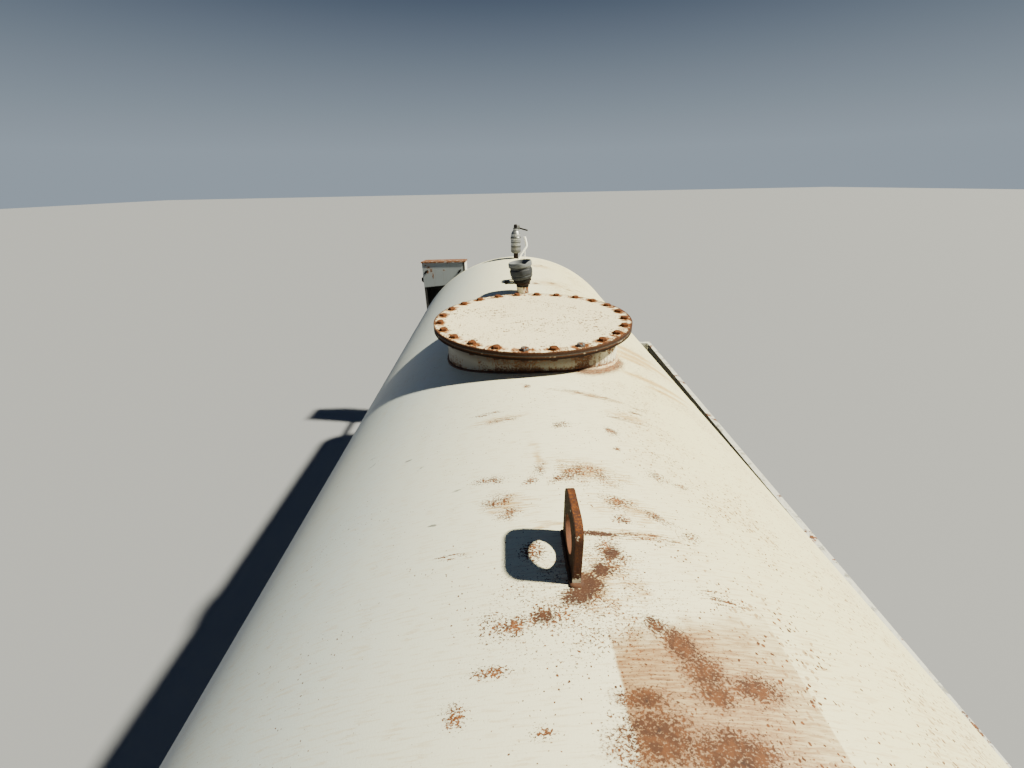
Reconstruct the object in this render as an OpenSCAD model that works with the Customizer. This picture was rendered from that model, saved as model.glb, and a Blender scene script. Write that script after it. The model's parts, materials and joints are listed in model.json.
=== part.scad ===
// Horizontal pressure tank on two saddles. The shell is rolled from plate courses and closed by
// dished ends. On top it has a bolted manway, two lifting lugs, a fill fitting, a relief valve
// and a bent drip tube. A sloping hose tray runs along its right side, and a small open cabinet
// stands on arms past its far end.
// +Y runs along the shell, +Z is up, and the origin is the middle of the near foot's underside.

/* [Shell] */
// Outside diameter of the shell
shell_d = 1720; // [1500:10:2000]
// Length of the shell between its tangent lines
shell_len = 3724; // [3500:4:4400]
// Plate thickness of the shell
shell_wall = 8; // [6:1:12]
// Plate thickness of the dished ends
head_wall = 8; // [6:1:12]
// Straight skirt of each dished end, inside the tangent line
head_skirt = 30; // [20:5:60]
// Width of a rolled plate course
course_w = 1188; // [1050:6:1250]
// Distance of the middle seam before the manway's centre
seam_shift = 38; // [0:2:80]

/* [Saddles] */
// Distance between the two saddles
saddle_gap = 2200; // [1900:10:2400]
// Height of the shell's underside over the ground
ground_gap = 120; // [80:5:260]
// How far a foot reaches past the web's horns
foot_margin = 8; // [5:1:80]
// Width of a foot along the shell
foot_w = 220; // [200:10:320]
// Thickness of a foot
foot_t = 15; // [10:1:25]
// Thickness of the web
web_t = 12; // [8:1:20]
// Thickness of a rib
rib_t = 12; // [8:1:20]
// Number of ribs on each face of the web
rib_count = 5; // [3:2:7]
// Margin between the ribs and the edges of the foot
rib_margin = 4; // [2:1:20]
// Half angle of the web's cradle, from straight down
cradle_angle = 60; // [50:1:65]
// Thickness of the wear plate
wear_t = 8; // [6:1:12]
// Width of the wear plate along the shell
wear_w = 240; // [200:10:244]
// Angle by which the wear plate passes the web's horn
wear_lap = 6; // [2:1:10]
// Diameter of an anchor hole
anchor_hole = 28; // [18:2:36]
// Distance of the anchor holes from the ends of a foot
anchor_inset = 140; // [120:5:160]
// Anchor hole spacing along the shell
anchor_y = 140; // [110:5:160]

/* [Manway] */
// Outside diameter of the neck
neck_d = 612; // [520:2:720]
// Plate thickness of the neck
neck_wall = 6; // [5:1:12]
// Distance of the bolt circle outside the neck
bolt_gap = 19; // [16:1:40]
// Distance of the flange's edge outside the bolt circle
flange_edge = 24; // [16:1:40]
// Height of the flange's face over the shell's top
flange_rise = 67; // [40:1:150]
// Thickness of the flange
flange_t = 10; // [8:1:20]
// Thickness of the gasket
gasket_t = 3; // [2:0.5:6]
// Thickness of the cover
cover_t = 10; // [8:1:20]
// Number of bolts
bolt_count = 24; // [16:4:28]
// Diameter of a bolt hole
bolt_hole = 18; // [14:1:20]

/* [Lifting lugs] */
// Distance of each lug from the manway's centre
lug_offset = 987; // [700:1:1150]
// Distance of each lug to the left of the shell's top line
lug_side = 6; // [0:1:12]
// Thickness of a lug
lug_t = 12; // [10:1:30]
// Width of a lug along the shell
lug_w = 100; // [80:2:160]
// Height of a lug
lug_h = 104; // [96:2:160]
// Diameter of the lug's hole
lug_hole = 56; // [30:2:60]
// Height of the hole's centre over the shell
lug_hole_rise = 47; // [40:1:56]
// Radius of the lug's upper corners
lug_corner = 25; // [5:1:38]

/* [Fill fitting] */
// Distance of the fill fitting past the manway's centre
fill_offset = 712; // [500:1:860]
// Outside diameter of the fill pipe
fill_pipe_d = 60; // [42:1:66]
// Wall of the fill pipe
fill_pipe_wall = 3.5; // [2.5:0.5:6]
// Height of the fill pipe over the shell
fill_pipe_rise = 31; // [20:1:80]
// Height of the threaded collar
collar_h = 9; // [6:1:30]
// Radial thickness of the threaded collar
collar_wall = 5; // [3:1:8]
// Height of the coupling in its middle
coupling_h = 16; // [14:1:40]
// Diameter of the coupling
coupling_d = 78; // [76:1:86]
// Length of the locking lever
lever_len = 56; // [40:1:80]
// Height of the locking lever
lever_h = 18; // [14:1:20]
// Thickness of the locking lever
lever_t = 12; // [8:1:18]
// Diameter of the clamping ring under the cup
cup_ring_d = 92; // [88:1:96]
// Height of the clamping ring
cup_ring_h = 15; // [10:1:24]
// Outside diameter of the cup's body
cup_d = 116; // [110:1:126]
// Height of the cup
cup_h = 86; // [70:1:120]
// Wall of the cup
cup_wall = 6; // [4:0.5:7]
// Lean of the ring and the cup to the left, in degrees
cup_tilt = 8; // [0:1:10]
// Depth of the notch in the cup's rim
cup_notch = 9; // [4:1:12]

/* [Relief valve] */
// Distance of the relief valve before the shell's far tangent line
relief_inset = 72; // [70:1:300]
// Outside diameter of the valve's pipe
relief_pipe_d = 34; // [26:1:50]
// Wall of the valve's pipe
relief_pipe_wall = 3.5; // [2.5:0.5:5]
// Height of the valve's pipe over the shell
relief_pipe_rise = 40; // [30:1:60]
// Diameter of the valve's body
relief_body_d = 78; // [70:1:100]
// Height of the valve's body up to its neck
relief_body_h = 156; // [120:1:200]
// Diameter of the valve's neck
relief_neck_d = 37; // [32:1:44]
// Height of the valve's neck
relief_neck_h = 20; // [16:1:30]
// Diameter of the valve's cap
relief_cap_d = 27; // [20:1:31]
// Height of the valve's cap
relief_cap_h = 24; // [16:1:40]
// Depth of the grooves round the body
relief_groove = 3; // [1:0.5:4]
// Distance of the fork's outer side from the valve's axis
relief_fork_reach = 30; // [26:1:36]
// Length of the lifting lever past its fork
relief_lever_len = 57; // [30:1:70]
// Thickness of the lifting lever
relief_lever_t = 11; // [8:0.5:12]
// Droop of the lifting lever, in degrees
relief_lever_droop = 16; // [0:1:30]

/* [Drip tube] */
// Outside diameter of the drip tube
drip_d = 13; // [10:0.5:15]
// Wall of the drip tube
drip_wall = 1.5; // [1:0.25:2]
// Height of the tube's open end over the shell
drip_rise = 152; // [140:1:180]
// Distance of the tube's open end beside the valve's axis
drip_side = 67; // [62:1:80]
// How far the tube's lower end lies before the valve
drip_lead = 22; // [20:1:60]
// Diameter of the rod that holds the tube
drip_rod_d = 6; // [4:0.5:8]

/* [Hose tray] */
// Gap between the shell's side and the tray
tray_gap = 13; // [5:1:40]
// Width of the trough
tray_w = 235; // [150:5:300]
// Depth of the trough
tray_depth = 150; // [80:5:180]
// Sheet thickness of the tray
tray_sheet = 4; // [2:0.5:6]
// Width of the tray's turned rim
tray_rim = 25; // [10:1:40]
// Height of the rim over the shell's axis at the far end
tray_far_rise = 135; // [100:5:220]
// Fall of the tray towards its near end, in degrees
tray_fall = 1.8; // [0:0.1:2.4]
// Number of brackets under the tray
bracket_count = 4; // [3:1:6]
// Thickness of a bracket
bracket_t = 8; // [5:1:12]
// Height of a bracket at the shell
bracket_h = 200; // [120:10:240]
// Height of a bracket's outer end
bracket_nose = 30; // [20:5:60]

/* [Cabinet] */
// Gap between the far end's crown and the cabinet
cab_gap = 157; // [40:1:300]
// Distance of the cabinet's top below the shell's top
cab_drop = 102; // [60:2:200]
// Distance of the cabinet's outer side inside the shell's side
cab_inset = 40; // [20:5:80]
// Width of the cabinet
cab_w = 380; // [300:5:440]
// Depth of the cabinet along the shell
cab_d = 238; // [180:2:300]
// Height of the cabinet
cab_h = 635; // [500:5:680]
// Sheet thickness of the cabinet
cab_sheet = 3; // [2:0.5:5]
// Height of the fixed panel at its left end
cab_panel_h = 228; // [180:1:260]
// Rise of the panel's lower edge to the right, in degrees
cab_panel_rise = 5; // [0:1:6]
// Width of the turned edges beside the cabinet's mouth
cab_edge = 20; // [10:1:30]
// Height of the turned edge of the cabinet's roof
cab_roof_edge = 11; // [8:1:24]
// Fall of the cabinet's roof to the back, in degrees
cab_roof_fall = 5; // [0:1:8]
// How far the latch stands out of the cabinet's side
latch_out = 22; // [18:1:50]
// Height of the latch
latch_h = 62; // [40:1:80]
// Length of the turn handles on the panel
handle_len = 44; // [30:1:60]
// Thickness of the carrying arms
arm_t = 10; // [6:1:14]
// Height of the carrying arms
arm_h = 60; // [40:5:80]
// Length of the arm that lies along the shell
arm_lap = 330; // [200:10:500]

/* [Hidden] */

$fn = 96;
cream = [0.87, 0.85, 0.78];
rusty = [0.47, 0.27, 0.16];
steel_grey = [0.62, 0.64, 0.65];
dark_grey = [0.2, 0.2, 0.21];

// Overshoot of cutting shapes
cut = 1;
shell_r = shell_d / 2;
axis_z = ground_gap + shell_r;
top_z = axis_z + shell_r;
mid_y = saddle_gap / 2;
near_tangent = mid_y - shell_len / 2;
far_tangent = mid_y + shell_len / 2;

// Dished end: the crown's radius is the shell's diameter, and the knuckle's is a tenth of it
crown_r = shell_d;
knuckle_r = shell_d / 10;
crown_drop = sqrt(pow(crown_r - knuckle_r, 2) - pow(shell_r - knuckle_r, 2));
head_depth = crown_r - crown_drop;

seam_y = mid_y - seam_shift;
bolt_circle = neck_d + bolt_gap * 2;
flange_d = bolt_circle + flange_edge * 2;
flange_z = top_z + flange_rise;
gasket_z = flange_z + gasket_t;

wear_r = shell_r + wear_t;
horn_x = wear_r * sin(cradle_angle);
horn_z = axis_z - wear_r * cos(cradle_angle);
foot_len = 2 * round(horn_x + foot_margin);
anchor_x = foot_len - anchor_inset * 2;
rib_reach = horn_x - 40;

collar_z = top_z + fill_pipe_rise;
coupling_z = collar_z + collar_h;
cup_z = coupling_z + coupling_h;
fill_y = mid_y + fill_offset;
fill_bore_r = fill_pipe_d / 2 - fill_pipe_wall;
plug_r = cup_ring_d / 2 - 8;

// Direction of the notch in the cup's rim, seen from above
notch_turn = -66;

relief_y = far_tangent - relief_inset;
relief_z = top_z + relief_pipe_rise;
neck_z = relief_z + relief_body_h;
cap_z = neck_z + relief_neck_h;

tray_x = shell_r + tray_gap;
tray_rim_z = axis_z + tray_far_rise;
tray_len = shell_len;

cab_x = -(shell_r - cab_inset);
cab_y = far_tangent + head_depth + cab_gap;
cab_top = top_z - cab_drop;
cab_z = cab_top - cab_h;
arm_top = cab_z - arm_t;

// The roof's edge stands off the panel and the sides by as much as its sheet
roof_over = cab_sheet * 2;
roof_front = cab_sheet * 3;
roof_d = (cab_d + roof_over + roof_front) / cos(cab_roof_fall);

// A cylinder along +Y that starts at y
module bar_y(y, len, r) {
    translate([0, y, axis_z])
        rotate([-90, 0, 0])
        cylinder(h = len, r = r);
}

// What the shell's outside fills, for cutting what seats on it
module shell_space() {
    bar_y(near_tangent, shell_len, shell_r, $fn = 360);
}

// Half outline of a dished end's solid, its skirt below the tangent line at height 0
module dish_outline(thinner) {
    knuckle_x = shell_r - knuckle_r;
    slope_x = knuckle_x / (crown_r - knuckle_r);
    slope_z = crown_drop / (crown_r - knuckle_r);
    intersection() {
        translate([0, -crown_drop])
            circle(r = crown_r - thinner, $fn = 360);
        polygon([
            [0, 0],
            [knuckle_x, 0],
            [knuckle_x + slope_x * crown_r, slope_z * crown_r],
            [0, crown_r * 2]
        ]);
    }
    intersection() {
        translate([knuckle_x, 0])
            circle(r = knuckle_r - thinner);
        translate([knuckle_x - cut, 0])
            square([knuckle_r + cut, knuckle_r]);
    }
    translate([0, -head_skirt])
        square([shell_r - thinner, head_skirt]);
}

module dished_end() {
    rotate_extrude($fn = 180)
        difference() {
            dish_outline(0);
            dish_outline(head_wall);
            translate([0, -head_skirt - cut])
                square([shell_r - head_wall, cut * 2]);
        }
}

module dished_end_solid() {
    rotate_extrude($fn = 180)
        dish_outline(0);
}

module at_far_end() {
    translate([0, far_tangent, axis_z])
        rotate([-90, 0, 0])
        children();
}

module at_near_end() {
    translate([0, near_tangent, axis_z])
        rotate([90, 0, 0])
        children();
}

// One rolled course with the holes of the fittings that stand on it
module course(y_from, y_to) {
    color(cream)
        difference() {
            bar_y(y_from, y_to - y_from, shell_r, $fn = 180);
            bar_y(y_from - cut, y_to - y_from + cut * 2, shell_r - shell_wall, $fn = 180);
            port_cut(mid_y, neck_d / 2 - neck_wall);
            port_cut(fill_y, fill_bore_r);
            port_cut(relief_y, relief_pipe_d / 2 - relief_pipe_wall);
        }
}

// Upright cut through the shell's top at y
module port_cut(y, r) {
    translate([0, y, axis_z])
        cylinder(h = shell_r + cut, r = r);
}

module near_end_course() {
    course(near_tangent + head_skirt, seam_y - course_w);
}

module near_course() {
    course(seam_y - course_w, seam_y);
}

module far_course() {
    course(seam_y, seam_y + course_w);
}

module far_end_course() {
    course(seam_y + course_w, far_tangent - head_skirt);
}

module near_head() {
    color(cream) at_near_end() dished_end();
}

module far_head() {
    color(cream) at_far_end() dished_end();
}

// Upright tube at y that starts on the shell's curved top
module stub(y, d, wall, z_to) {
    difference() {
        translate([0, y, axis_z])
            cylinder(h = z_to - axis_z, d = d);
        translate([0, y, axis_z - cut])
            cylinder(h = z_to - axis_z + cut * 2, d = d - wall * 2);
        shell_space();
    }
}

// Ring of bolt holes for a plate that starts at z
module bolt_holes(z, t) {
    for (i = [0 : bolt_count - 1])
        translate([0, mid_y, z - cut])
            rotate([0, 0, (i + 0.5) * 360 / bolt_count])
            translate([bolt_circle / 2, 0, 0])
            cylinder(h = t + cut * 2, d = bolt_hole, $fn = 32);
}

module drilled_ring(z, t, bore) {
    difference() {
        translate([0, mid_y, z])
            cylinder(h = t, d = flange_d);
        if (bore > 0)
            translate([0, mid_y, z - cut])
                cylinder(h = t + cut * 2, d = bore);
        bolt_holes(z, t);
    }
}

module manway_neck() {
    color(cream) stub(mid_y, neck_d, neck_wall, flange_z);
}

module manway_flange() {
    color(rusty) drilled_ring(flange_z - flange_t, flange_t, neck_d);
}

module manway_gasket() {
    color(dark_grey) drilled_ring(flange_z, gasket_t, neck_d);
}

module manway_cover() {
    color(cream) drilled_ring(gasket_z, cover_t, 0);
}

// Side view of a lug, its foot at height -lug_t and its corners round
module lug_outline() {
    side_x = lug_w / 2 - lug_corner;
    difference() {
        union() {
            translate([-lug_w / 2, -lug_t])
                square([lug_w, lug_t + lug_h - lug_corner]);
            translate([-side_x, 0])
                square([side_x * 2, lug_h]);
            for (side = [-1, 1])
                translate([side * side_x, lug_h - lug_corner])
                    circle(r = lug_corner);
        }
        translate([0, lug_hole_rise])
            circle(d = lug_hole);
    }
}

module lug(y) {
    color(rusty)
        difference() {
            translate([-lug_side - lug_t / 2, y, top_z])
                rotate([90, 0, 90])
                linear_extrude(lug_t)
                lug_outline();
            shell_space();
        }
}

module near_lug() {
    lug(mid_y - lug_offset);
}

module far_lug() {
    lug(mid_y + lug_offset);
}

module saddle_foot(y) {
    color(dark_grey)
        difference() {
            translate([-foot_len / 2, y - foot_w / 2, 0])
                cube([foot_len, foot_w, foot_t]);
            for (sx = [-1, 1])
                for (sy = [-1, 1])
                    translate([sx * anchor_x / 2, y + sy * anchor_y / 2, -cut])
                        cylinder(h = foot_t + cut * 2, d = anchor_hole);
        }
}

module saddle_web(y) {
    foot_x = foot_len / 2 - rib_margin;
    color(cream)
        translate([0, y + web_t / 2, 0])
        rotate([90, 0, 0])
        linear_extrude(web_t)
        difference() {
            polygon([
                [-foot_x, foot_t],
                [foot_x, foot_t],
                [horn_x, horn_z],
                [-horn_x, horn_z]
            ]);
            translate([0, axis_z])
                circle(r = wear_r, $fn = 180);
        }
}

module saddle_ribs(y) {
    depth = (foot_w - web_t) / 2 - rib_margin;
    color(cream)
        difference() {
            for (i = [0 : rib_count - 1])
                for (side = [0, 1])
                    translate([rib_x(i) - rib_t / 2, y - web_t / 2 - depth + side * (web_t + depth), foot_t])
                        cube([rib_t, depth, axis_z - foot_t]);
            bar_y(y - foot_w, foot_w * 2, wear_r, $fn = 180);
            translate([-foot_len, y - foot_w, horn_z])
                cube([foot_len * 2, foot_w * 2, axis_z]);
        }
}

// Place of rib number i across the foot
function rib_x(i) = -rib_reach + i * 2 * rib_reach / (rib_count - 1);

module wear_plate(y) {
    half = cradle_angle + wear_lap;
    color(cream)
        translate([0, y + wear_w / 2, axis_z])
        rotate([90, 0, 0])
        linear_extrude(wear_w)
        difference() {
            intersection() {
                circle(r = wear_r, $fn = 180);
                polygon([
                    [0, 0],
                    [-shell_d * sin(half), -shell_d * cos(half)],
                    [0, -shell_d * 2],
                    [shell_d * sin(half), -shell_d * cos(half)]
                ]);
            }
            circle(r = shell_r, $fn = 180);
        }
}

module near_saddle_foot() {
    saddle_foot(0);
}

module near_saddle_web() {
    saddle_web(0);
}

module near_saddle_ribs() {
    saddle_ribs(0);
}

module near_wear_plate() {
    wear_plate(0);
}

module far_saddle_foot() {
    saddle_foot(saddle_gap);
}

module far_saddle_web() {
    saddle_web(saddle_gap);
}

module far_saddle_ribs() {
    saddle_ribs(saddle_gap);
}

module far_wear_plate() {
    wear_plate(saddle_gap);
}

module fill_pipe() {
    color(rusty) stub(fill_y, fill_pipe_d, fill_pipe_wall, collar_z);
}

module fill_collar() {
    color(dark_grey)
        translate([0, fill_y, collar_z])
        difference() {
            cylinder(h = collar_h, d = fill_pipe_d + collar_wall);
            translate([0, 0, -cut])
                cylinder(h = collar_h + cut * 2, r = fill_bore_r);
        }
}

// Places its children on the coupling, leaning to the left
module on_coupling() {
    translate([0, fill_y, cup_z])
        rotate([0, -cup_tilt, 0])
        children();
}

// The coupling's top is cut at the lean of the ring that stands on it
module fill_coupling() {
    body_r = coupling_d / 2;
    color(steel_grey)
        difference() {
            translate([0, fill_y, coupling_z])
                rotate_extrude()
                polygon([
                    [fill_bore_r, 0],
                    [body_r - 6, 0],
                    [body_r, 4],
                    [body_r, coupling_h * 2],
                    [fill_bore_r, coupling_h * 2]
                ]);
            on_coupling()
                translate([-coupling_d, -coupling_d, 0])
                cube([coupling_d * 2, coupling_d * 2, coupling_h * 2]);
        }
}

// Locking lever on the coupling's left side, with a round end and a slot
module fill_lever() {
    body_r = coupling_d / 2;
    tip_x = -body_r - lever_len + lever_h / 2;
    bar_h = lever_h * 0.84;
    slot_h = lever_h * 0.44;
    slot_len = lever_len * 0.4;
    color(dark_grey)
        difference() {
            translate([0, fill_y + lever_t / 2, coupling_z + coupling_h * 0.75])
                rotate([90, 0, 0])
                linear_extrude(lever_t)
                difference() {
                    union() {
                        translate([tip_x, 0])
                            circle(d = lever_h);
                        translate([tip_x, -bar_h / 2])
                            square([-tip_x, bar_h]);
                    }
                    translate([-body_r - slot_len * 1.5, -slot_h / 2])
                        square([slot_len, slot_h]);
                }
            translate([0, fill_y, collar_z])
                cylinder(h = coupling_h * 3, r = body_r);
            on_coupling()
                cylinder(h = lever_h * 2, d = cup_ring_d + cut * 2);
        }
}

// Clamping ring round the cup's plug
module cup_ring() {
    ring_r = cup_ring_d / 2;
    color(dark_grey)
        on_coupling()
        rotate_extrude()
        polygon([
            [plug_r, 0],
            [ring_r - 2, 0],
            [ring_r, 2],
            [ring_r, cup_ring_h - 2],
            [ring_r - 2, cup_ring_h],
            [plug_r, cup_ring_h]
        ]);
}

// Open cup: a plug inside the ring, a round body with a groove, and a wide lip with a notch
module fill_cup() {
    body_r = cup_d / 2;
    rim_z = cup_ring_h + cup_h;
    inner_r = body_r - cup_wall;
    color(steel_grey)
        on_coupling()
        difference() {
            rotate_extrude()
                polygon([
                    [0, 0],
                    [plug_r, 0],
                    [plug_r, cup_ring_h],
                    [body_r - 10, cup_ring_h],
                    [body_r - 7, cup_ring_h + 2],
                    [body_r - 2, cup_ring_h + cup_h * 0.17],
                    [body_r - 4, cup_ring_h + cup_h * 0.2],
                    [body_r - 4, cup_ring_h + cup_h * 0.24],
                    [body_r - 1, cup_ring_h + cup_h * 0.27],
                    [body_r, cup_ring_h + cup_h * 0.54],
                    [body_r - 4, cup_ring_h + cup_h * 0.58],
                    [body_r - 4, cup_ring_h + cup_h * 0.68],
                    [body_r + 2, cup_ring_h + cup_h * 0.74],
                    [body_r + 2, cup_ring_h + cup_h * 0.92],
                    [body_r, rim_z],
                    [inner_r + 2, rim_z],
                    [inner_r - 4, cup_ring_h + cup_h * 0.74],
                    [inner_r - 6, cup_ring_h + cup_h * 0.24],
                    [inner_r - 14, cup_ring_h + cup_wall],
                    [0, cup_ring_h + cup_wall]
                ]);
            rotate([0, 0, notch_turn])
                translate([body_r - cup_wall * 3, 0, rim_z])
                rotate([90, 0, 90])
                linear_extrude(cup_wall * 5)
                polygon([
                    [-cup_notch * 3, cut],
                    [0, -cup_notch],
                    [cup_notch * 3, cut]
                ]);
        }
}

module relief_pipe() {
    color(rusty) stub(relief_y, relief_pipe_d, relief_pipe_wall, relief_z);
}

// Relief valve body: a drum with two grooves and a collar, a round shoulder and a neck.
// A fork for the lifting lever stands on the neck's right side.
module relief_body() {
    body_r = relief_body_d / 2;
    wall_r = body_r - 2;
    groove_r = wall_r - relief_groove;
    neck_r = relief_neck_d / 2;
    fork_w = relief_lever_t * 1.5;
    color(steel_grey)
        translate([0, relief_y, relief_z]) {
            rotate_extrude()
                polygon([
                    [0, 0],
                    [body_r - 10, 0],
                    [wall_r, relief_body_h * 0.05],
                    [wall_r, relief_body_h * 0.38],
                    [groove_r, relief_body_h * 0.39],
                    [groove_r, relief_body_h * 0.41],
                    [wall_r, relief_body_h * 0.42],
                    [wall_r, relief_body_h * 0.58],
                    [groove_r, relief_body_h * 0.59],
                    [groove_r, relief_body_h * 0.61],
                    [body_r, relief_body_h * 0.62],
                    [body_r, relief_body_h * 0.71],
                    [body_r - 4, relief_body_h * 0.75],
                    [body_r - 5, relief_body_h * 0.86],
                    [body_r - 11, relief_body_h * 0.94],
                    [neck_r + 3, relief_body_h],
                    [neck_r, relief_body_h],
                    [neck_r, relief_body_h + relief_neck_h],
                    [0, relief_body_h + relief_neck_h]
                ]);
            translate([neck_r - 3, -fork_w / 2, relief_body_h + relief_neck_h * 0.3])
                cube([relief_fork_reach - neck_r + 3, fork_w, relief_neck_h * 1.6]);
        }
}

module relief_cap() {
    cap_r = relief_cap_d / 2;
    color(dark_grey)
        translate([0, relief_y, cap_z])
        rotate_extrude()
        polygon([
            [0, 0],
            [cap_r, 0],
            [cap_r, relief_cap_h * 0.6],
            [cap_r - 2, relief_cap_h * 0.85],
            [cap_r - 5, relief_cap_h],
            [0, relief_cap_h]
        ]);
}

// Lifting lever that droops from the fork to the right
module relief_lever() {
    lever_z = neck_z + relief_neck_h * 0.85;
    color(dark_grey)
        difference() {
            translate([relief_fork_reach, relief_y, lever_z])
                rotate([0, 90 + relief_lever_droop, 0]) {
                    translate([0, 0, -relief_lever_t])
                        cylinder(h = relief_lever_len + relief_lever_t, d = relief_lever_t);
                    translate([0, 0, relief_lever_len])
                        sphere(d = relief_lever_t, $fn = 48);
                }
            translate([-relief_lever_len, relief_y - relief_lever_t, neck_z])
                cube([relief_lever_len + relief_fork_reach, relief_lever_t * 2, relief_neck_h * 3]);
        }
}

// The drip tube's path is one smooth curve through four guiding points
DRIP_STEPS = 22;
DRIP_SIDES = 12;
drip_end = [drip_side, 0, drip_rise];
drip_bulge = [drip_side + 25, 0, drip_rise * 0.36];
drip_drop = [drip_side + 16, -drip_lead * 0.6, drip_rise * 0.72];
drip_foot = [19, -drip_lead, 0];

function curve_at(t) =
    drip_end * pow(1 - t, 3)
    + drip_bulge * 3 * t * pow(1 - t, 2)
    + drip_drop * 3 * t * t * (1 - t)
    + drip_foot * pow(t, 3);

function curve_dir(t) =
    (drip_bulge - drip_end) * pow(1 - t, 2)
    + (drip_drop - drip_bulge) * 2 * t * (1 - t)
    + (drip_foot - drip_drop) * t * t;

function unit(v) = v / norm(v);

// One ring of points of radius r, square to the path at t
function curve_ring(t, r) =
    let (
        along = unit(curve_dir(t)),
        side = unit(cross(along, [0, 1, 0])),
        up = cross(side, along)
    )
    [
        for (k = [0 : DRIP_SIDES - 1])
            curve_at(t) + r * (cos(k * 360 / DRIP_SIDES) * side + sin(k * 360 / DRIP_SIDES) * up)
    ];

// Solid round bar of radius r along the path, between two values of its parameter
module curve_bar(r, t_from, t_to) {
    points = [
        for (i = [0 : DRIP_STEPS])
            each curve_ring(t_from + (t_to - t_from) * i / DRIP_STEPS, r)
    ];
    walls = [
        for (i = [0 : DRIP_STEPS - 1])
            for (k = [0 : DRIP_SIDES - 1])
                let (next = (k + 1) % DRIP_SIDES)
                [
                    i * DRIP_SIDES + k,
                    i * DRIP_SIDES + next,
                    (i + 1) * DRIP_SIDES + next,
                    (i + 1) * DRIP_SIDES + k
                ]
    ];
    first_end = [for (k = [DRIP_SIDES - 1 : -1 : 0]) k];
    last_end = [for (k = [0 : DRIP_SIDES - 1]) DRIP_STEPS * DRIP_SIDES + k];
    polyhedron(points = points, faces = concat(walls, [first_end, last_end]));
}

module drip_tube() {
    rod_t = 0.64;
    rod_at = curve_at(rod_t);
    color("white")
        difference() {
            translate([0, relief_y, top_z])
                difference() {
                    union() {
                        curve_bar(drip_d / 2, 0, 1);
                        translate([rod_at[0], rod_at[1], -drip_rod_d])
                            cylinder(h = rod_at[2] + drip_rod_d, d = drip_rod_d, $fn = 16);
                    }
                    curve_bar(drip_d / 2 - drip_wall, -0.01, 1.01);
                }
            shell_space();
        }
}

// Places its children so that the tray's rim is level zero and its far end is y zero
module in_tray() {
    translate([tray_x, far_tangent, tray_rim_z])
        rotate([tray_fall, 0, 0])
        children();
}

// Folded trough with end walls, and a rim turned out along its outer side and its ends
module hose_tray() {
    color(steel_grey)
        in_tray() {
            difference() {
                translate([0, -tray_len + tray_rim, -tray_depth])
                    cube([tray_w, tray_len - tray_rim * 2, tray_depth]);
                translate([tray_sheet, -tray_len + tray_rim + tray_sheet, tray_sheet - tray_depth])
                    cube([
                        tray_w - tray_sheet * 2,
                        tray_len - (tray_rim + tray_sheet) * 2,
                        tray_depth
                    ]);
            }
            difference() {
                translate([0, -tray_len, -tray_sheet])
                    cube([tray_w + tray_rim, tray_len, tray_sheet]);
                translate([-cut, -tray_len + tray_rim, -tray_sheet - cut])
                    cube([tray_w + cut, tray_len - tray_rim * 2, tray_sheet + cut * 2]);
            }
        }
}

// Height of the trough's underside at y
function tray_floor_z(y) =
    tray_rim_z - tray_depth / cos(tray_fall) - (far_tangent - y) * tan(tray_fall);

// Gusset plates between the shell and the trough's underside
module tray_brackets() {
    reach = tray_x + tray_w - tray_sheet * 2;
    color(steel_grey)
        difference() {
            for (i = [0 : bracket_count - 1])
                tray_bracket(far_tangent - tray_len * (i + 0.5) / bracket_count, reach);
            shell_space();
            in_tray()
                translate([-shell_r, -tray_len * 2, -tray_depth])
                cube([shell_d, tray_len * 3, tray_depth * 3]);
        }
}

module tray_bracket(y, reach) {
    floor_z = tray_floor_z(y);
    translate([0, y + bracket_t / 2, floor_z])
        rotate([90, 0, 0])
        linear_extrude(bracket_t)
        polygon([
            [shell_r / 2, bracket_t],
            [reach, bracket_t],
            [reach, -bracket_nose],
            [tray_x, -bracket_h],
            [shell_r / 2, -bracket_h]
        ]);
}

// Places its children so that the roof's top is level zero, from its front edge to the back
module in_roof() {
    translate([cab_x, cab_y - roof_front, cab_top])
        rotate([-cab_roof_fall, 0, 0])
        children();
}

// The space over the underside of the cabinet's roof plate
module over_roof() {
    in_roof()
        translate([-cab_w, -cab_d, -cab_sheet])
        cube([cab_w * 3, cab_d * 3, cab_panel_h]);
}

// Cabinet of folded sheet: back, two sides with turned edges, and floor
module cabinet_box() {
    color(dark_grey)
        difference() {
            translate([cab_x, cab_y, cab_z])
                cube([cab_w, cab_d, cab_h]);
            translate([cab_x + cab_sheet, cab_y + cab_sheet, cab_z + cab_sheet])
                cube([cab_w - cab_sheet * 2, cab_d - cab_sheet * 2, cab_h]);
            translate([cab_x + cab_edge, cab_y - cut, cab_z + cab_sheet])
                cube([cab_w - cab_edge * 2, cab_sheet + cut * 2, cab_h]);
            over_roof();
        }
}

// Fixed panel that closes the upper part of the mouth, its lower edge rising to the right
module cabinet_panel() {
    panel_w = cab_w - cab_edge;
    low = cab_top - cab_panel_h;
    color(steel_grey)
        difference() {
            translate([cab_x, cab_y, 0])
                rotate([90, 0, 0])
                linear_extrude(cab_sheet)
                polygon([
                    [0, low],
                    [panel_w, low + panel_w * tan(cab_panel_rise)],
                    [panel_w, cab_top],
                    [0, cab_top]
                ]);
            over_roof();
        }
}

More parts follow.
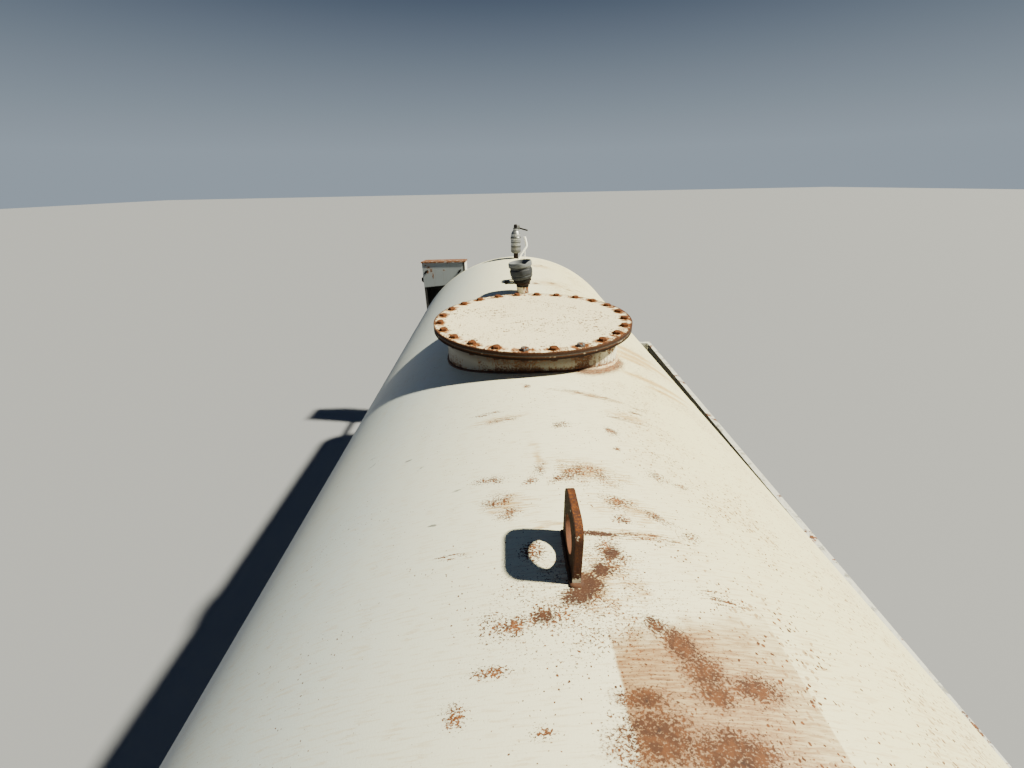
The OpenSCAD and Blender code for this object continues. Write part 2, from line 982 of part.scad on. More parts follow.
// Two turn handles on the panel, each a boss with a slanting bar
module panel_handles() {
    handle_w = handle_len / 4;
    boss_h = handle_w / 2;
    inset = handle_len * 0.7;
    color(dark_grey)
        for (x = [cab_x + inset, cab_x + cab_w - cab_edge - inset])
            translate([x, cab_y - cab_sheet, cab_top - cab_panel_h * 0.39])
                rotate([90, 0, 0]) {
                    cylinder(h = boss_h, d = handle_w * 1.8);
                    translate([0, 0, boss_h])
                        rotate([0, 0, 45])
                        translate([-handle_len / 2, -handle_w / 2, 0])
                        cube([handle_len, handle_w, boss_h]);
                }
}

// Roof plate that falls to the back, its edges turned down over the panel and the box
module cabinet_roof() {
    color(rusty)
        in_roof()
        difference() {
            translate([-roof_over, 0, -cab_roof_edge])
                cube([cab_w + roof_over * 2, roof_d, cab_roof_edge]);
            translate([cab_sheet - roof_over, cab_sheet, -cab_roof_edge - cut])
                cube([
                    cab_w + (roof_over - cab_sheet) * 2,
                    roof_d - cab_sheet * 2,
                    cab_roof_edge - cab_sheet + cut
                ]);
        }
}

// Black toggle latch on the cabinet's left side: a base with a raised handle
module cabinet_latch() {
    base_t = 6;
    handle_y = cab_y + cab_edge + 4;
    color(dark_grey)
        translate([cab_x, handle_y, cab_top - cab_panel_h * 0.85]) {
            translate([-base_t, -4, 0])
                cube([base_t, 24, latch_h]);
            translate([0, 16, 0])
                rotate([90, 0, 0])
                linear_extrude(16)
                polygon([
                    [-base_t, latch_h * 0.08],
                    [-latch_out, latch_h * 0.3],
                    [-latch_out, latch_h * 0.72],
                    [-base_t, latch_h * 0.92]
                ]);
        }
}

// Two arms, one on the shell's left side and one on the far end, joined by two cross bars
module cabinet_arms() {
    left_x = -(shell_r + arm_t);
    right_x = cab_x + cab_w - arm_t;
    back_y = cab_y + cab_d;
    color(dark_grey)
        difference() {
            union() {
                translate([left_x, far_tangent - arm_lap, arm_top - arm_h + arm_t])
                    cube([arm_t, back_y - far_tangent + arm_lap, arm_h]);
                for (share = [0.12, 0.72])
                    translate([left_x, far_tangent - arm_lap * (1 - share), arm_top - arm_h + arm_t])
                        cube([arm_t * 4, arm_h, arm_h]);
                for (y = [cab_y + arm_h / 2, back_y - arm_h])
                    translate([left_x, y, arm_top])
                        cube([right_x - left_x + arm_t, arm_h / 2, arm_t]);
                translate([right_x, far_tangent, arm_top - arm_h + arm_t])
                    cube([arm_t, back_y - far_tangent, arm_h]);
            }
            shell_space();
            at_far_end() dished_end_solid();
        }
}

near_end_course();
near_course();
far_course();
far_end_course();
near_head();
far_head();
manway_neck();
manway_flange();
manway_gasket();
manway_cover();
near_lug();
far_lug();
near_saddle_foot();
near_saddle_web();
near_saddle_ribs();
near_wear_plate();
far_saddle_foot();
far_saddle_web();
far_saddle_ribs();
far_wear_plate();
fill_pipe();
fill_collar();
fill_coupling();
fill_lever();
cup_ring();
fill_cup();
relief_pipe();
relief_body();
relief_cap();
relief_lever();
drip_tube();
hose_tray();
tray_brackets();
cabinet_box();
cabinet_panel();
panel_handles();
cabinet_roof();
cabinet_latch();
cabinet_arms();
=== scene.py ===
"""A weathered horizontal pressure tank: its paint, rust, welds and bolts, under one key light."""

import json
import math

import bmesh
import bpy
from mathutils import Matrix, Vector


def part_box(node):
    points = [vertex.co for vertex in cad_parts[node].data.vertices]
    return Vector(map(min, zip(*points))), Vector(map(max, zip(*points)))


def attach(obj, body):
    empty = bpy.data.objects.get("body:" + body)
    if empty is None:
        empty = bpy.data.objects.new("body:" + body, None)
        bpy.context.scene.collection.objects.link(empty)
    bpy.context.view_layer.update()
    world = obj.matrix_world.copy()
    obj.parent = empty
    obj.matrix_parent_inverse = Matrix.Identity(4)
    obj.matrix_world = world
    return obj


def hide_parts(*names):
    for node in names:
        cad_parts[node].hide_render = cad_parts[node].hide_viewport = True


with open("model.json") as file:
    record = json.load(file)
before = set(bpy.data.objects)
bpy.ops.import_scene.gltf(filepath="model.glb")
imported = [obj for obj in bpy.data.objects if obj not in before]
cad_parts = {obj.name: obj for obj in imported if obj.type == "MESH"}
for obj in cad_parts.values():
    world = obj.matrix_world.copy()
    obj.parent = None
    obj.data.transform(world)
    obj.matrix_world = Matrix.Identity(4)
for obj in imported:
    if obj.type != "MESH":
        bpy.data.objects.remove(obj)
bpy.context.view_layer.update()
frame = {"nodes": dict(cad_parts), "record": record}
BODY = "root"

# The photograph's frame and what its straight edges say about the camera
PHOTO_SIZE = Vector((1024, 768))
FOCAL_PX = 413.6
SHELL_VANISHES_AT = Vector((501.0, 182.7))
CAMERA_ROLL = -0.02654
CAMERA_FROM_COVER = Vector((-0.098, -1.438, 0.4355))


def low_corner(node):
    """Left, near and lowest corner of a CAD node's box."""
    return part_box(node)[0]


def high_corner(node):
    """Right, far and highest corner of a CAD node's box."""
    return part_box(node)[1]


def middle(node):
    """Centre of a CAD node's box."""
    return (low_corner(node) + high_corner(node)) / 2


# Sizes taken from the frame
SHELL_R = (high_corner("near_course").x - low_corner("near_course").x) / 2
AXIS_Z = low_corner("near_course").z + SHELL_R
TOP_Z = AXIS_Z + SHELL_R
NEAR_TANGENT = low_corner("near_end_course").y
FAR_TANGENT = high_corner("far_end_course").y
COVER_MID = middle("manway_cover")
COVER_TOP = high_corner("manway_cover").z
COVER_R = high_corner("manway_cover").x
NECK_R = high_corner("manway_neck").x
FLANGE_LOW = low_corner("manway_flange").z

# Sizes that the frame doesn't tell, in metres and degrees
PANEL_EDGE_ANGLE = 5
LUG_EYE_R = 0.028
LUG_EYE_ABOVE_SHELL = 0.047
TRAY_ANGLE = 1.8
TRAY_RIM = 0.025
TRAY_DEPTH = 0.150
TRAY_SHEET = 0.002
WEAR_LAP_ANGLE = 66
CRADLE_ANGLE = 60
SHARP_EDGE = math.radians(32)

# The shell's weld beads, and where each course's long seam lies, in degrees from the top
SEAM_R = 0.014
SEAM_SUNK = 0.0133
LONG_SEAMS = (118, -128, 124, -118)

# The manway's bolts
BOLT_COUNT = 24
BOLT_CIRCLE_R = 0.325
BOLT_D = 0.016
HEAD_ACROSS = 0.0235
HEAD_H = 0.0085
NUT_ACROSS = 0.024
NUT_H = 0.008
WASHER_R = 0.015
WASHER_T = 0.003
END_PAST_NUT = 0.002

# Two of them still have zinc; counted in half steps round the circle from its nearest point
ZINC_HALF_STEPS = (-1, 3)
ZINC_BOLTS = [
    (
        BOLT_CIRCLE_R * math.sin(half_steps * math.pi / BOLT_COUNT),
        COVER_MID.y - BOLT_CIRCLE_R * math.cos(half_steps * math.pi / BOLT_COUNT),
        COVER_TOP + 0.006,
    )
    for half_steps in ZINC_HALF_STEPS
]

# The cup on the fill fitting, which leans to the left on its coupling
CUP_LEAN = -8
CUP_SEAT = 0.016
CUP_R = 0.058
CUP_WALL = 0.006
CUP_H = 0.086
CUP_SIDES = 96
RING_H = 0.015
PLUG_R = 0.038
NOTCH_TURN = -66
NOTCH_HALF_ANGLE = 26
NOTCH_DEPTH = 0.009

# The drip tube: four guiding points from its open end to its foot, measured from the valve's foot
DRIP_GUIDES = [(0.067, 0, 0.152), (0.092, 0, 0.0547), (0.083, -0.0132, 0.1097), (0.019, -0.022, 0)]
DRIP_R = 0.0085
DRIP_WALL = 0.0015
DRIP_ROD_R = 0.003
DRIP_ROD_AT = 0.64

# Light, floor and sky
KEY_COMES_FROM = Vector((0.658, -0.118, 0.743))
KEY_STRENGTH = 14.4
KEY_TINT = (1.0, 0.96, 0.72)
FLOOR_TINT = (0.19, 0.195, 0.225)
HORIZON = (0.30, 0.36, 0.42)
HIGH_SKY = (0.036, 0.058, 0.105)

# Colours that several finishes share
CREAM = (0.80, 0.765, 0.56)
OCHRE = (0.42, 0.245, 0.085)
ORANGE_RUST = (0.175, 0.058, 0.015)
BROWN_RUST = (0.085, 0.029, 0.010)
DARK_RUST = (0.036, 0.016, 0.011)
# Near black that stands in for shade inside the tray and the cabinet
SHADE_BLACK = (0.022, 0.022, 0.024)


class Value:
    """A node's output. Arithmetic on it adds Math nodes to its tree."""

    def __init__(self, tree, socket):
        self.tree = tree
        self.socket = socket

    def maths(self, operation, *values):
        """The output of a Math node that takes these values."""
        return self.tree.node("ShaderNodeMath", {"operation": operation}, dict(enumerate(values)))

    def __add__(self, other):
        return self.maths("ADD", self, other)

    def __sub__(self, other):
        return self.maths("SUBTRACT", self, other)

    def __rsub__(self, other):
        return self.maths("SUBTRACT", other, self)

    def __mul__(self, other):
        return self.maths("MULTIPLY", self, other)

    def __truediv__(self, other):
        return self.maths("DIVIDE", self, other)

    def __rtruediv__(self, other):
        return self.maths("DIVIDE", other, self)

    def __mod__(self, other):
        return self.maths("FLOORED_MODULO", self, other)

    def __abs__(self):
        return self.maths("ABSOLUTE", self)

    def most(self, other):
        """The larger of the two."""
        return self.maths("MAXIMUM", self, other)

    def least(self, other):
        """The smaller of the two."""
        return self.maths("MINIMUM", self, other)

    __radd__ = __add__
    __rmul__ = __mul__


class Tree:
    """A node tree in the making."""

    def __init__(self, tree):
        self.tree = tree

    def add(self, kind, settings=None, sockets=None):
        """Adds a node: its settings first, then the values or links of its sockets."""
        made = self.tree.nodes.new(kind)
        for name, value in (settings or {}).items():
            setattr(made, name, value)
        for key, value in (sockets or {}).items():
            self.feed(made.inputs[key], value)
        return made

    def node(self, kind, settings=None, sockets=None, out=0):
        """Adds a node and gives one of its outputs."""
        return Value(self, self.add(kind, settings, sockets).outputs[out])

    def feed(self, socket, value):
        """Links a socket to another node's output, or sets it."""
        if isinstance(value, Value):
            self.tree.links.new(value.socket, socket)
        elif socket.type == "RGBA":
            socket.default_value = (*value, 1)
        else:
            socket.default_value = value


class Finish(Tree):
    """A material: a weathered surface worked out from the point on the object."""

    def __init__(self, name):
        self.material = bpy.data.materials.new(name + "_finish")
        self.material.use_nodes = True
        super().__init__(self.material.node_tree)
        self.shader = self.tree.nodes["Principled BSDF"]
        self.place = self.node("ShaderNodeTexCoord", out="Object")

    def parts(self, vector):
        """The three coordinates of a vector."""
        made = self.add("ShaderNodeSeparateXYZ", sockets={0: vector})
        return [Value(self, made.outputs[i]) for i in range(3)]

    def vector(self, x, y, z=0.0):
        return self.node("ShaderNodeCombineXYZ", sockets={0: x, 1: y, 2: z})

    def noise(self, place, scale, detail=3.0, rough=0.55):
        """Cloudy values, mostly between 0.3 and 0.7."""
        return self.node(
            "ShaderNodeTexNoise",
            sockets={"Vector": place, "Scale": scale, "Detail": detail, "Roughness": rough},
        )

    def clouds(self, scale, detail=3.0, rough=0.55):
        """Noise at the point on the object."""
        return self.noise(self.place, scale, detail, rough)

    def dots(self, place, scale, share, size=0.8, flat=True):
        """Spots of mixed sizes in a share of the cells, which may vary; 1 inside a spot."""
        cell = {"Vector": place, "Scale": scale}
        settings = {"voronoi_dimensions": "2D" if flat else "3D"}
        reach = self.node("ShaderNodeTexVoronoi", settings, cell, out="Distance")
        lot = self.parts(self.node("ShaderNodeTexVoronoi", settings, cell, out="Color"))[0]
        radius = (lot - 1 + share) * size
        return self.step(radius - reach, 0.0, 0.06)

    def ragged(self, x, y, scale, amount):
        """Flat coordinates pushed about by noise, so that what lies on them has a ragged outline."""
        sockets = {"Vector": self.vector(x, y), "Scale": scale, "Detail": 2.0}
        red, green, _ = self.parts(self.node("ShaderNodeTexNoise", sockets=sockets, out="Color"))
        return self.vector(x + (red - 0.5) * amount, y + (green - 0.5) * amount)

    def step(self, value, start, end):
        """Rises smoothly from 0 to 1 between two values."""
        return self.node(
            "ShaderNodeMapRange",
            {"interpolation_type": "SMOOTHSTEP"},
            {0: value, 1: start, 2: end, 3: 0.0, 4: 1.0},
        )

    def band(self, value, start, end, soft):
        """1 between two values, with soft borders."""
        past_end = self.step(value, end - soft, end + soft)
        return self.step(value, start - soft, start + soft) * (1 - past_end)

    def mix(self, share, first, second):
        """A colour between two."""
        return self.node("ShaderNodeMix", {"data_type": "RGBA"}, {0: share, 6: first, 7: second}, out=2)

    def angle(self, opposite, adjacent):
        """Angle in radians from the adjacent side towards the opposite one."""
        return self.node("ShaderNodeMath", {"operation": "ARCTAN2"}, {0: opposite, 1: adjacent})

    def root(self, value):
        return self.node("ShaderNodeMath", {"operation": "SQRT"}, {0: value})

    def distance(self, place, point):
        return self.node(
            "ShaderNodeVectorMath", {"operation": "DISTANCE"}, {0: place, 1: point}, out="Value"
        )

    def dot(self, first, second):
        return self.node(
            "ShaderNodeVectorMath", {"operation": "DOT_PRODUCT"}, {0: first, 1: second}, out="Value"
        )

    def stains(self, across, along, marks):
        """How deep a point lies in oval marks: 1 at a mark's middle, 0 outside them all.
        A mark is its middle, its half sizes and its turn in degrees, on the surface."""
        spot = self.vector(across, along, 1.0)
        nearest = None
        for mark_across, mark_along, half_across, half_along, turn in marks:
            cosine, sine = math.cos(math.radians(turn)), math.sin(math.radians(turn))
            offsets = []
            for axis, half in (((cosine, sine), half_across), ((-sine, cosine), half_along)):
                shift = -(axis[0] * mark_across + axis[1] * mark_along)
                offsets.append(self.dot(spot, Vector((*axis, shift)) / half))
            squares = offsets[0] * offsets[0] + offsets[1] * offsets[1]
            nearest = squares if nearest is None else nearest.least(squares)
        return 1 - self.root(nearest.least(1))

    def rust(self, scale=60):
        """Rust colour, mottled from dark brown to orange."""
        mottle = self.clouds(scale, 4, 0.6)
        brown = self.mix(self.step(mottle, 0.27, 0.40), DARK_RUST, BROWN_RUST)
        return self.mix(self.step(mottle, 0.42, 0.62), brown, ORANGE_RUST)

    def coat(self, colour, roughness, relief, depth, metal=0.0, gloss=0.5):
        """Feeds the shader; relief is a height that bumps the surface by up to depth metres."""
        self.shader.inputs["Specular IOR Level"].default_value = gloss
        self.feed(self.shader.inputs["Base Color"], colour)
        self.feed(self.shader.inputs["Roughness"], roughness)
        self.feed(self.shader.inputs["Metallic"], metal)
        bump = self.node("ShaderNodeBump", sockets={"Height": relief, "Distance": depth})
        self.feed(self.shader.inputs["Normal"], bump)
        return self.material


# Marks on the shell. Each is its middle, across the top to the right and along the shell, then its
# half sizes and its turn in degrees
RUST_CLUSTERS = [
    (-0.065, 0.125, 0.05, 0.045, 0),
    (0.005, 0.052, 0.081, 0.07, 0),
    (-0.06, 0.018, 0.062, 0.042, 0),
    (0.055, 0.112, 0.085, 0.096, 20),
    (0.1, 0.23, 0.085, 0.042, -20),
    (0.165, 0.198, 0.078, 0.026, -32),
    (0.205, 0.165, 0.043, 0.026, 0),
    (0.095, 0.192, 0.043, 0.024, 0),
    (-0.12, 0.25, 0.065, 0.042, 20),
    (-0.1, 0.215, 0.054, 0.032, 0),
    (0.05, 0.312, 0.139, 0.072, -14),
    (-0.005, 0.3, 0.054, 0.022, 32),
    (-0.055, 0.295, 0.04, 0.022, 30),
    (-0.035, 0.33, 0.031, 0.048, 0),
    (-0.13, 0.31, 0.078, 0.029, 0),
    (0.205, 0.32, 0.054, 0.038, -30),
    (0.245, 0.305, 0.043, 0.019, 0),
    (0.145, 0.475, 0.037, 0.048, 0),
    (0.03, 0.495, 0.054, 0.032, 10),
    (-0.04, 0.705, 0.022, 0.026, 0),
    (0.14, 0.405, 0.02, 0.019, 0),
    (-0.12, -0.045, 0.07, 0.019, 0),
    (-0.11, 0.012, 0.078, 0.048, 0),
    (-0.17, -0.085, 0.037, 0.029, 0),
    (0.005, -0.098, 0.014, 0.014, 0),
    (-0.07, -0.11, 0.028, 0.017, 0),
]
RUST_DASHES = [
    (-0.11, 0.535, 0.09, 0.021, 6),
    (-0.15, 0.575, 0.084, 0.015, 4),
    (0.2, 0.545, 0.084, 0.018, -8),
    (0.24, 0.592, 0.054, 0.015, -8),
    (0.26, 0.62, 0.048, 0.012, -8),
    (0.14, 0.655, 0.156, 0.024, -13),
    (0.07, 0.675, 0.096, 0.015, -6),
    (0.12, 0.155, 0.132, 0.018, -3),
    (0.2, 0.05, 0.06, 0.024, -20),
    (-0.2, 0.14, 0.048, 0.012, 0),
]
OCHRE_STREAKS = [
    (0.11, 0.157, 0.15, 0.02, -3),
    (-0.04, 0.18, 0.05, 0.018, 0),
    (-0.036, 0.37, 0.015, 0.075, 0),
    (-0.042, 0.418, 0.028, 0.012, 0),
    (0.14, 0.655, 0.17, 0.03, -13),
    (-0.12, 0.54, 0.12, 0.028, 6),
    (0.22, 0.56, 0.12, 0.05, -8),
    (0.03, 0.07, 0.11, 0.10, 0),
    (0.06, 0.32, 0.14, 0.07, -14),
    (0.11, 0.22, 0.12, 0.05, -20),
    (-0.10, 0.235, 0.08, 0.05, 0),
    (0.19, 2.08, 0.22, 0.16, 0),
    (0.17, 2.62, 0.16, 0.12, 0),
    (0.36, 1.95, 0.25, 0.05, 0),
    (0.16, 1.78, 0.20, 0.03, 0),
    (0.26, 1.72, 0.22, 0.022, 0),
]
NECK_STREAKS = [
    (0.42, 1.185, 0.19, 0.045, 0),
    (0.45, 1.11, 0.25, 0.045, 0),
    (0.38, 1.06, 0.12, 0.03, 0),
    (0.42, 0.89, 0.20, 0.03, 0),
    (0.44, 0.83, 0.12, 0.02, 0),
]
FAR_STAINS = [
    (0.19, 2.10, 0.05, 0.06, 0),
    (0.08, 2.03, 0.07, 0.07, 0),
    (0.28, 2.02, 0.07, 0.025, 0),
    (0.17, 2.66, 0.035, 0.05, 0),
    (0.12, 2.60, 0.05, 0.03, 0),
    (0.35, 2.10, 0.06, 0.02, 0),
]
GREY_SCUFFS = [
    (-0.46, 0.52, 0.03, 0.006, 20),
    (-0.34, 0.46, 0.02, 0.008, 0),
    (-0.30, 0.41, 0.024, 0.006, 30),
    (-0.48, 0.56, 0.02, 0.006, 0),
    (-0.24, 0.22, 0.014, 0.01, 0),
    (-0.20, 0.30, 0.02, 0.006, 15),
    (-0.52, 0.95, 0.03, 0.006, 10),
    (-0.40, 1.70, 0.02, 0.012, 0),
]
HEAVY_RUST = [
    (0.014, 0.066, 0.044, 0.036, -30),
    (-0.004, 0.048, 0.050, 0.030, 20),
    (0.034, 0.088, 0.028, 0.026, 0),
    (-0.055, 0.018, 0.024, 0.016, 0),
    (0.058, 0.118, 0.026, 0.018, 30),
    (0.088, 0.002, 0.030, 0.022, -50),
    (0.110, -0.022, 0.056, 0.034, -50),
    (0.128, -0.050, 0.048, 0.044, 0),
    (0.132, -0.078, 0.044, 0.026, 0),
    (0.185, -0.068, 0.062, 0.028, 0),
    (0.050, -0.120, 0.085, 0.050, 0),
    (0.045, -0.082, 0.055, 0.022, 0),
    (0.120, -0.130, 0.110, 0.040, 0),
    (0.040, 0.158, 0.065, 0.009, -5),
]
SCRAPE_LEFT = 0.024
SCRAPE_RIGHT = 0.256
SCRAPE_TOP = [(0.03, -0.02), (0.25, 0.03)]
SCRAPE_ENDS = (-0.32, -0.22)

# Scratches on the cover: middle and radius of their arc, then where it starts and ends across
COVER_SCRATCHES = [
    (-0.10, -0.02, 0.05, -0.16, -0.06),
    (-0.13, 0.03, 0.035, -0.15, -0.09),
    (0.10, -0.22, 0.16, -0.05, 0.02),
    (0.02, 0.16, 0.06, 0.0, 0.09),
]

# Rust on the cabinet's panel: across and down from its upper left corner, half sizes and turn
PANEL_RUST = [
    (0.055, 0.045, 0.035, 0.03, 0),
    (0.075, 0.075, 0.024, 0.04, 15),
    (0.045, 0.085, 0.02, 0.024, 0),
    (0.09, 0.115, 0.012, 0.045, 0),
    (0.19, 0.075, 0.018, 0.013, 0),
    (0.03, 0.03, 0.03, 0.014, 0),
]


class ShellPaint(Finish):
    """Cream paint on the shell: specks and clusters of rust, ochre streaks, a scraped patch by the
    near lug, grey scuffs, and dirty runs down the sides. Marks lie by how far a point is across
    the top, measured round the shell, and along it."""

    def __init__(self):
        super().__init__("shell_paint")
        self.x, self.y, self.z = self.parts(self.place)
        self.across = self.angle(self.x, self.z - AXIS_Z) * SHELL_R
        self.flat = self.vector(self.across, self.y)

        # Clouds, grains and fine lines across the shell
        self.ragged_flat = self.ragged(self.across, self.y, 120, 0.006)
        self.shifted = self.noise(self.flat, 26, 3)
        self.clump = (self.shifted - 0.5) * 2.2 + 0.95
        self.flecks = self.noise(self.vector(self.across * 0.7, self.y), 340, 3, 0.75)
        drawn_out = self.vector(self.across * 0.09, self.y)
        self.lines = self.step(self.noise(drawn_out, 300, 4, 0.65), 0.38, 0.64)
        self.crowd = self.step(self.noise(self.flat, 6, 3), 0.4, 0.62)
        self.broad = self.clouds(3.0, 4, 0.6)

        # Parts of the shell, each 1 there and 0 elsewhere
        past_far_tangent = self.step(self.y, FAR_TANGENT, FAR_TANGENT + 0.03)
        past_near_tangent = 1 - self.step(self.y, NEAR_TANGENT - 0.03, NEAR_TANGENT)
        self.on_ends = past_far_tangent.most(past_near_tangent)
        self.to_right = self.step(self.across, 0.03, 0.24) * (1 - self.on_ends)
        self.on_top = (1 - self.step(abs(self.across), 0.5, 0.85)) * (1 - self.on_ends * 0.8)
        self.low = self.step(AXIS_Z + 0.45 - self.z, 0.0, 0.6)
        self.under = self.step(AXIS_Z - self.z, 0.35, 0.8)
        self.by_lug = self.step(self.y, -0.02, 0.04)

        # The marks that more than one layer needs
        self.heavy = self.stains(self.across, self.y, HEAVY_RUST)
        self.scraped = self.scraped_patch()
        self.fans = self.fans_by_neck()

    def scraped_patch(self):
        """Patch near the lug, between a straight left border and a slanting one, fading to the right."""
        across, y = self.across, self.y
        inside = self.step(across + self.shifted * 0.012, SCRAPE_LEFT + 0.004, SCRAPE_LEFT + 0.009)
        inside = inside * (1 - self.step(across, SCRAPE_RIGHT, SCRAPE_RIGHT + 0.004))
        (first_across, first_y), (last_across, last_y) = SCRAPE_TOP
        slope = (last_y - first_y) / (last_across - first_across)
        border = (across - first_across) * slope + first_y
        below = self.step(border - y + self.shifted * 0.05, 0.0, 0.05)
        past = self.step(y, *SCRAPE_ENDS)
        upper_right = self.step(across, 0.10, 0.26) * self.step(y, -0.14, 0.02)
        fading = upper_right.most(self.step(across, 0.16, SCRAPE_RIGHT) * 0.7)
        return inside * below * past * (1 - fading * 0.65)

    def fans_by_neck(self):
        """Rust that spreads from the neck's foot, at its right."""
        from_neck = self.distance(self.flat, (0, COVER_MID.y, 0)) - NECK_R
        side = self.angle(self.across, COVER_MID.y - self.y)
        spread = 1 - self.step(from_neck + self.shifted * 0.06 - 0.03, 0.0, 0.075)
        return spread * self.band(side, 0.35, 1.35, 0.25)

    def specks(self):
        """Specks of rust: crowded in the marks, by the lug and the neck, and loose elsewhere."""
        clusters = self.step(self.stains(self.across, self.y, RUST_CLUSTERS), 0.0, 0.95)
        dashes = self.step(self.stains(self.across, self.y, RUST_DASHES), 0.0, 0.8)
        past_cup = self.stains(self.across, self.y, FAR_STAINS)
        by_foot = self.distance(self.vector(self.across * 0.62, self.y), (0.0, 0.03, 0))
        spray = (1 - by_foot / 0.16).most(0)
        share = (
            (clusters * self.clump * 0.74)
            .most(spray * (0.14 + self.clump * 0.5))
            .most(past_cup * self.clump * 0.9)
            .most(self.fans * (0.6 + self.clump * 0.7))
            .most(dashes * (0.26 + self.lines * 0.7))
            .most(self.heavy * (self.clump * 0.5 + 0.65 + self.by_lug * 0.15))
            .most(self.scraped * (0.16 + self.lines * 0.2 + self.clump * 0.14))
            .least(0.9)
        )
        crowded = self.step(self.flecks + share * 0.34, 0.70, 0.745)
        from_left = self.step(self.across, -0.3, 0.0)
        loose = 0.05 + from_left * 0.06 + self.crowd * 0.11 + self.to_right * 0.06
        return crowded.most(self.dots(self.ragged_flat, 170, loose * self.on_top, 1.5))

    def broad_spots(self):
        """Pale brown spots on the right half."""
        share = (self.to_right + 0.1) * (0.18 + self.crowd * 0.24) * self.on_top
        return self.dots(self.ragged_flat, 130, share, 1.05)

    def tinted(self):
        """Cream, yellower on the right of the top, with painted shade tinting the left side blue grey,
        faintly lined and cloudy.
        """
        tube = 1 - self.on_ends
        colour = self.mix(self.band(self.across, 0.2, 0.85, 0.2) * tube, CREAM, (0.79, 0.745, 0.46))
        # Painted shade: the tube's left side is tinted blue grey, as if lit only by the sky.
        left = self.band(self.across, -1.05, -0.22, 0.27) * tube
        colour = self.mix(left, colour, (0.51, 0.565, 0.58))
        colour = self.mix(self.step(self.broad, 0.35, 0.7) * 0.15, colour, (0.72, 0.66, 0.48))
        return self.mix(self.step(self.lines, 0.5, 1.0) * tube * 0.14, colour, (0.45, 0.37, 0.26))

    def runs_of_dirt(self):
        """Wet dirt and rusty runs, down the sides and down the dished ends."""
        lane = self.y + self.on_ends * (self.x - self.y)
        fall = abs(self.across) * (1 - self.on_ends) - self.z * self.on_ends
        runs = self.noise(self.vector(lane, fall * 0.07), 46, 4, 0.6)
        wet = self.step(runs, 0.48, 0.68) * self.step(self.broad, 0.4, 0.6) * self.low
        rusty = self.step(runs * 0.4 + self.broad * 0.6, 0.58, 0.68) * self.low * 0.5
        return wet, rusty

    def ochre_stained(self, colour):
        """Ochre streaks and haze over the paint."""
        streaks = self.stains(self.across, self.y, NECK_STREAKS)
        by_neck = self.step(streaks + self.lines * 0.3, 0.15, 0.8)
        colour = self.mix(by_neck * 0.8, colour, (0.52, 0.34, 0.12))
        marks = self.stains(self.across, self.y, OCHRE_STREAKS)
        haze = self.step(self.lines * 0.7 + self.crowd * 0.4, 0.5, 1.0)
        ochre = (
            self.step(marks * 0.7 + self.lines * 0.5 + self.shifted * 0.6, 0.68, 1.4)
            .most(self.scraped * (0.85 + self.lines * 0.4))
            .most(self.fans * 0.5)
            .most(self.to_right * self.on_top * (0.13 + haze * 0.24))
        )
        return self.mix(ochre.least(1) * 0.85, colour, OCHRE)

    def crusted(self, colour):
        """The scraped patch's tan ground with its lines, and the crusts of rust on it and by the lug."""
        colour = self.mix(self.scraped * 0.35, colour, (0.26, 0.135, 0.06))
        ragged_heavy = self.heavy * 0.95 + (self.flecks - 0.5) * 1.6 + (self.shifted - 0.5) * 0.8
        crust = self.step(ragged_heavy, 0.22, 0.6)
        colour = self.mix(crust * (1 - self.by_lug) * 0.7, colour, (0.16, 0.070, 0.033))
        colour = self.mix(crust * self.by_lug * 0.92, colour, (0.062, 0.019, 0.008))
        return self.mix(self.scraped * self.lines * 0.7, colour, (0.19, 0.09, 0.04))

    def finished(self):
        """The material, with all of its marks laid over one another."""
        wet, rusty_runs = self.runs_of_dirt()
        marks = self.stains(self.across, self.y, GREY_SCUFFS)
        scuffs = self.step(self.lines * 0.6 + marks, 0.8, 1.1) * 0.8
        colour = self.mix(wet * 0.6, self.tinted(), (0.40, 0.35, 0.27))
        colour = self.mix(self.under * 0.45, colour, (0.36, 0.32, 0.26))
        colour = self.crusted(self.ochre_stained(colour))
        colour = self.mix(rusty_runs, colour, (0.32, 0.17, 0.08))
        colour = self.mix(scuffs, colour, (0.10, 0.10, 0.09))
        colour = self.mix(self.broad_spots() * 0.7, colour, (0.30, 0.165, 0.07))

        soiling = self.clouds(19, 5, 0.65)
        blotches = self.step(soiling + self.under * 0.06, 0.62, 0.67) * self.low
        worn = self.specks().most(blotches * 0.85)
        darker = self.step(self.heavy, 0.15, 0.7) * (0.45 + self.by_lug * 0.4)
        rust = self.mix(darker, self.rust(90), (0.036, 0.012, 0.006))
        colour = self.mix(worn, colour, rust)
        return self.coat(colour, 0.5 + worn * 0.38, self.clouds(420, 3), 0.0002)


